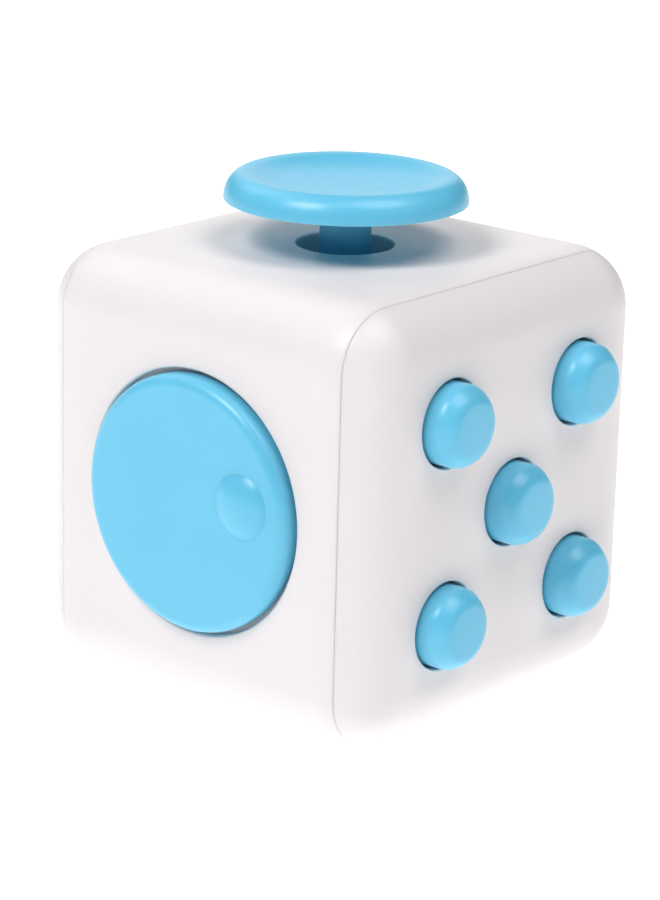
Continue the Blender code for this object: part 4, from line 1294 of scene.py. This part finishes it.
def add_floor():
    """A pale table, lit from within so that it stays white under the cube. It can't be seen from below."""
    shape = turned([(FLOOR_RADIUS, 0), (0, 0)], FLOOR_SIDES)
    bmesh.ops.scale(shape, vec=(MM, MM, MM), verts=shape.verts)
    mesh = new_mesh("floor", shape)
    floor = new_object("floor", mesh)
    floor.location.z = -FLOOR_DROP * MM
    material, tree, shader = new_material("floor")
    set_inputs(shader, {"Base Color": (*FLOOR_COLOUR, 1), "Roughness": 0.9, "Specular IOR Level": 0.0})
    set_inputs(shader, {"Emission Color": (1, 1, 1, 1), "Emission Strength": FLOOR_GLOW})
    geometry = tree.nodes.new("ShaderNodeNewGeometry")
    clear = tree.nodes.new("ShaderNodeBsdfTransparent")
    sides = tree.nodes.new("ShaderNodeMixShader")
    tree.links.new(geometry.outputs["Backfacing"], sides.inputs["Fac"])
    tree.links.new(shader.outputs["BSDF"], sides.inputs[1])
    tree.links.new(clear.outputs["BSDF"], sides.inputs[2])
    tree.links.new(sides.outputs["Shader"], tree.nodes["Material Output"].inputs["Surface"])
    mesh.materials.append(material)


def add_world():
    """Dim light from all round, brighter overhead than at the horizon."""
    world = bpy.data.worlds.new("studio")
    bpy.context.scene.world = world
    world.use_nodes = True
    tree = world.node_tree
    coordinates = tree.nodes.new("ShaderNodeTexCoord")
    parts = tree.nodes.new("ShaderNodeSeparateXYZ")
    ramp = tree.nodes.new("ShaderNodeValToRGB")
    for stop, level in zip(ramp.color_ramp.elements, (WORLD_HORIZON, WORLD_ZENITH)):
        stop.color = (level, level, level, 1)
    tree.links.new(coordinates.outputs["Generated"], parts.inputs["Vector"])
    tree.links.new(parts.outputs["Z"], ramp.inputs["Fac"])
    tree.links.new(ramp.outputs["Color"], tree.nodes["Background"].inputs["Color"])


def away(azimuth, elevation):
    """The way out from the cube. Azimuth runs from the dial's side towards the buttons' side."""
    return Vector((sin(azimuth) * cos(elevation), -cos(azimuth) * cos(elevation), sin(elevation)))


def add_softbox(name, azimuth, elevation, size, power):
    """A square area light aimed at the cube's middle."""
    back = away(radians(azimuth), radians(elevation))
    data = bpy.data.lights.new(name, "AREA")
    data.size = size * MM
    data.energy = power
    light = new_object(name, data)
    light.rotation_mode = "QUATERNION"
    light.rotation_quaternion = (-back).to_track_quat("-Z", "Y")
    light.location = (Vector((0, 0, HALF)) + back * SOFTBOX_DISTANCE) * MM


def add_camera():
    """The camera looks at the cube's middle from the front right, a little from above."""
    back = away(CAMERA_AZIMUTH, CAMERA_ELEVATION)
    right = Vector((cos(CAMERA_AZIMUTH), sin(CAMERA_AZIMUTH), 0))
    up = back.cross(right)
    place = Vector((0, 0, HALF)) + back * CAMERA_DISTANCE + right * CAMERA_SIDESTEP + up * CAMERA_LIFT
    axis_x = right * cos(CAMERA_ROLL) + up * sin(CAMERA_ROLL)
    axis_y = up * cos(CAMERA_ROLL) - right * sin(CAMERA_ROLL)
    data = bpy.data.cameras.new("camera")
    data.lens = CAMERA_LENS
    data.sensor_width = SENSOR
    data.clip_start = 0.01
    camera = new_object("camera", data)
    axes = Matrix((axis_x, axis_y, back)).transposed()
    camera.matrix_world = Matrix.Translation(place * MM) @ axes.to_4x4()
    bpy.context.scene.camera = camera


add_camera()
add_world()
add_floor()
for softbox, values in SOFTBOXES.items():
    add_softbox(softbox, *values)
bpy.context.scene.view_settings.view_transform = "Standard"

SLOT_OF = {part["node"]: part["material_slot"] for part in frame["record"]["subparts"]}
BODY_OF = {
    node: body for body, nodes in frame["record"]["behaviour"]["bodies"].items() for node in nodes
}
MATERIALS = make_materials()

build_housing()
build_click_cover()
build_roll_cover()
for button in BUTTONS:
    build_button(button)
build_click_carrier()
build_glide_side()
build_spin_side()
build_flip_side()
build_roll_side()
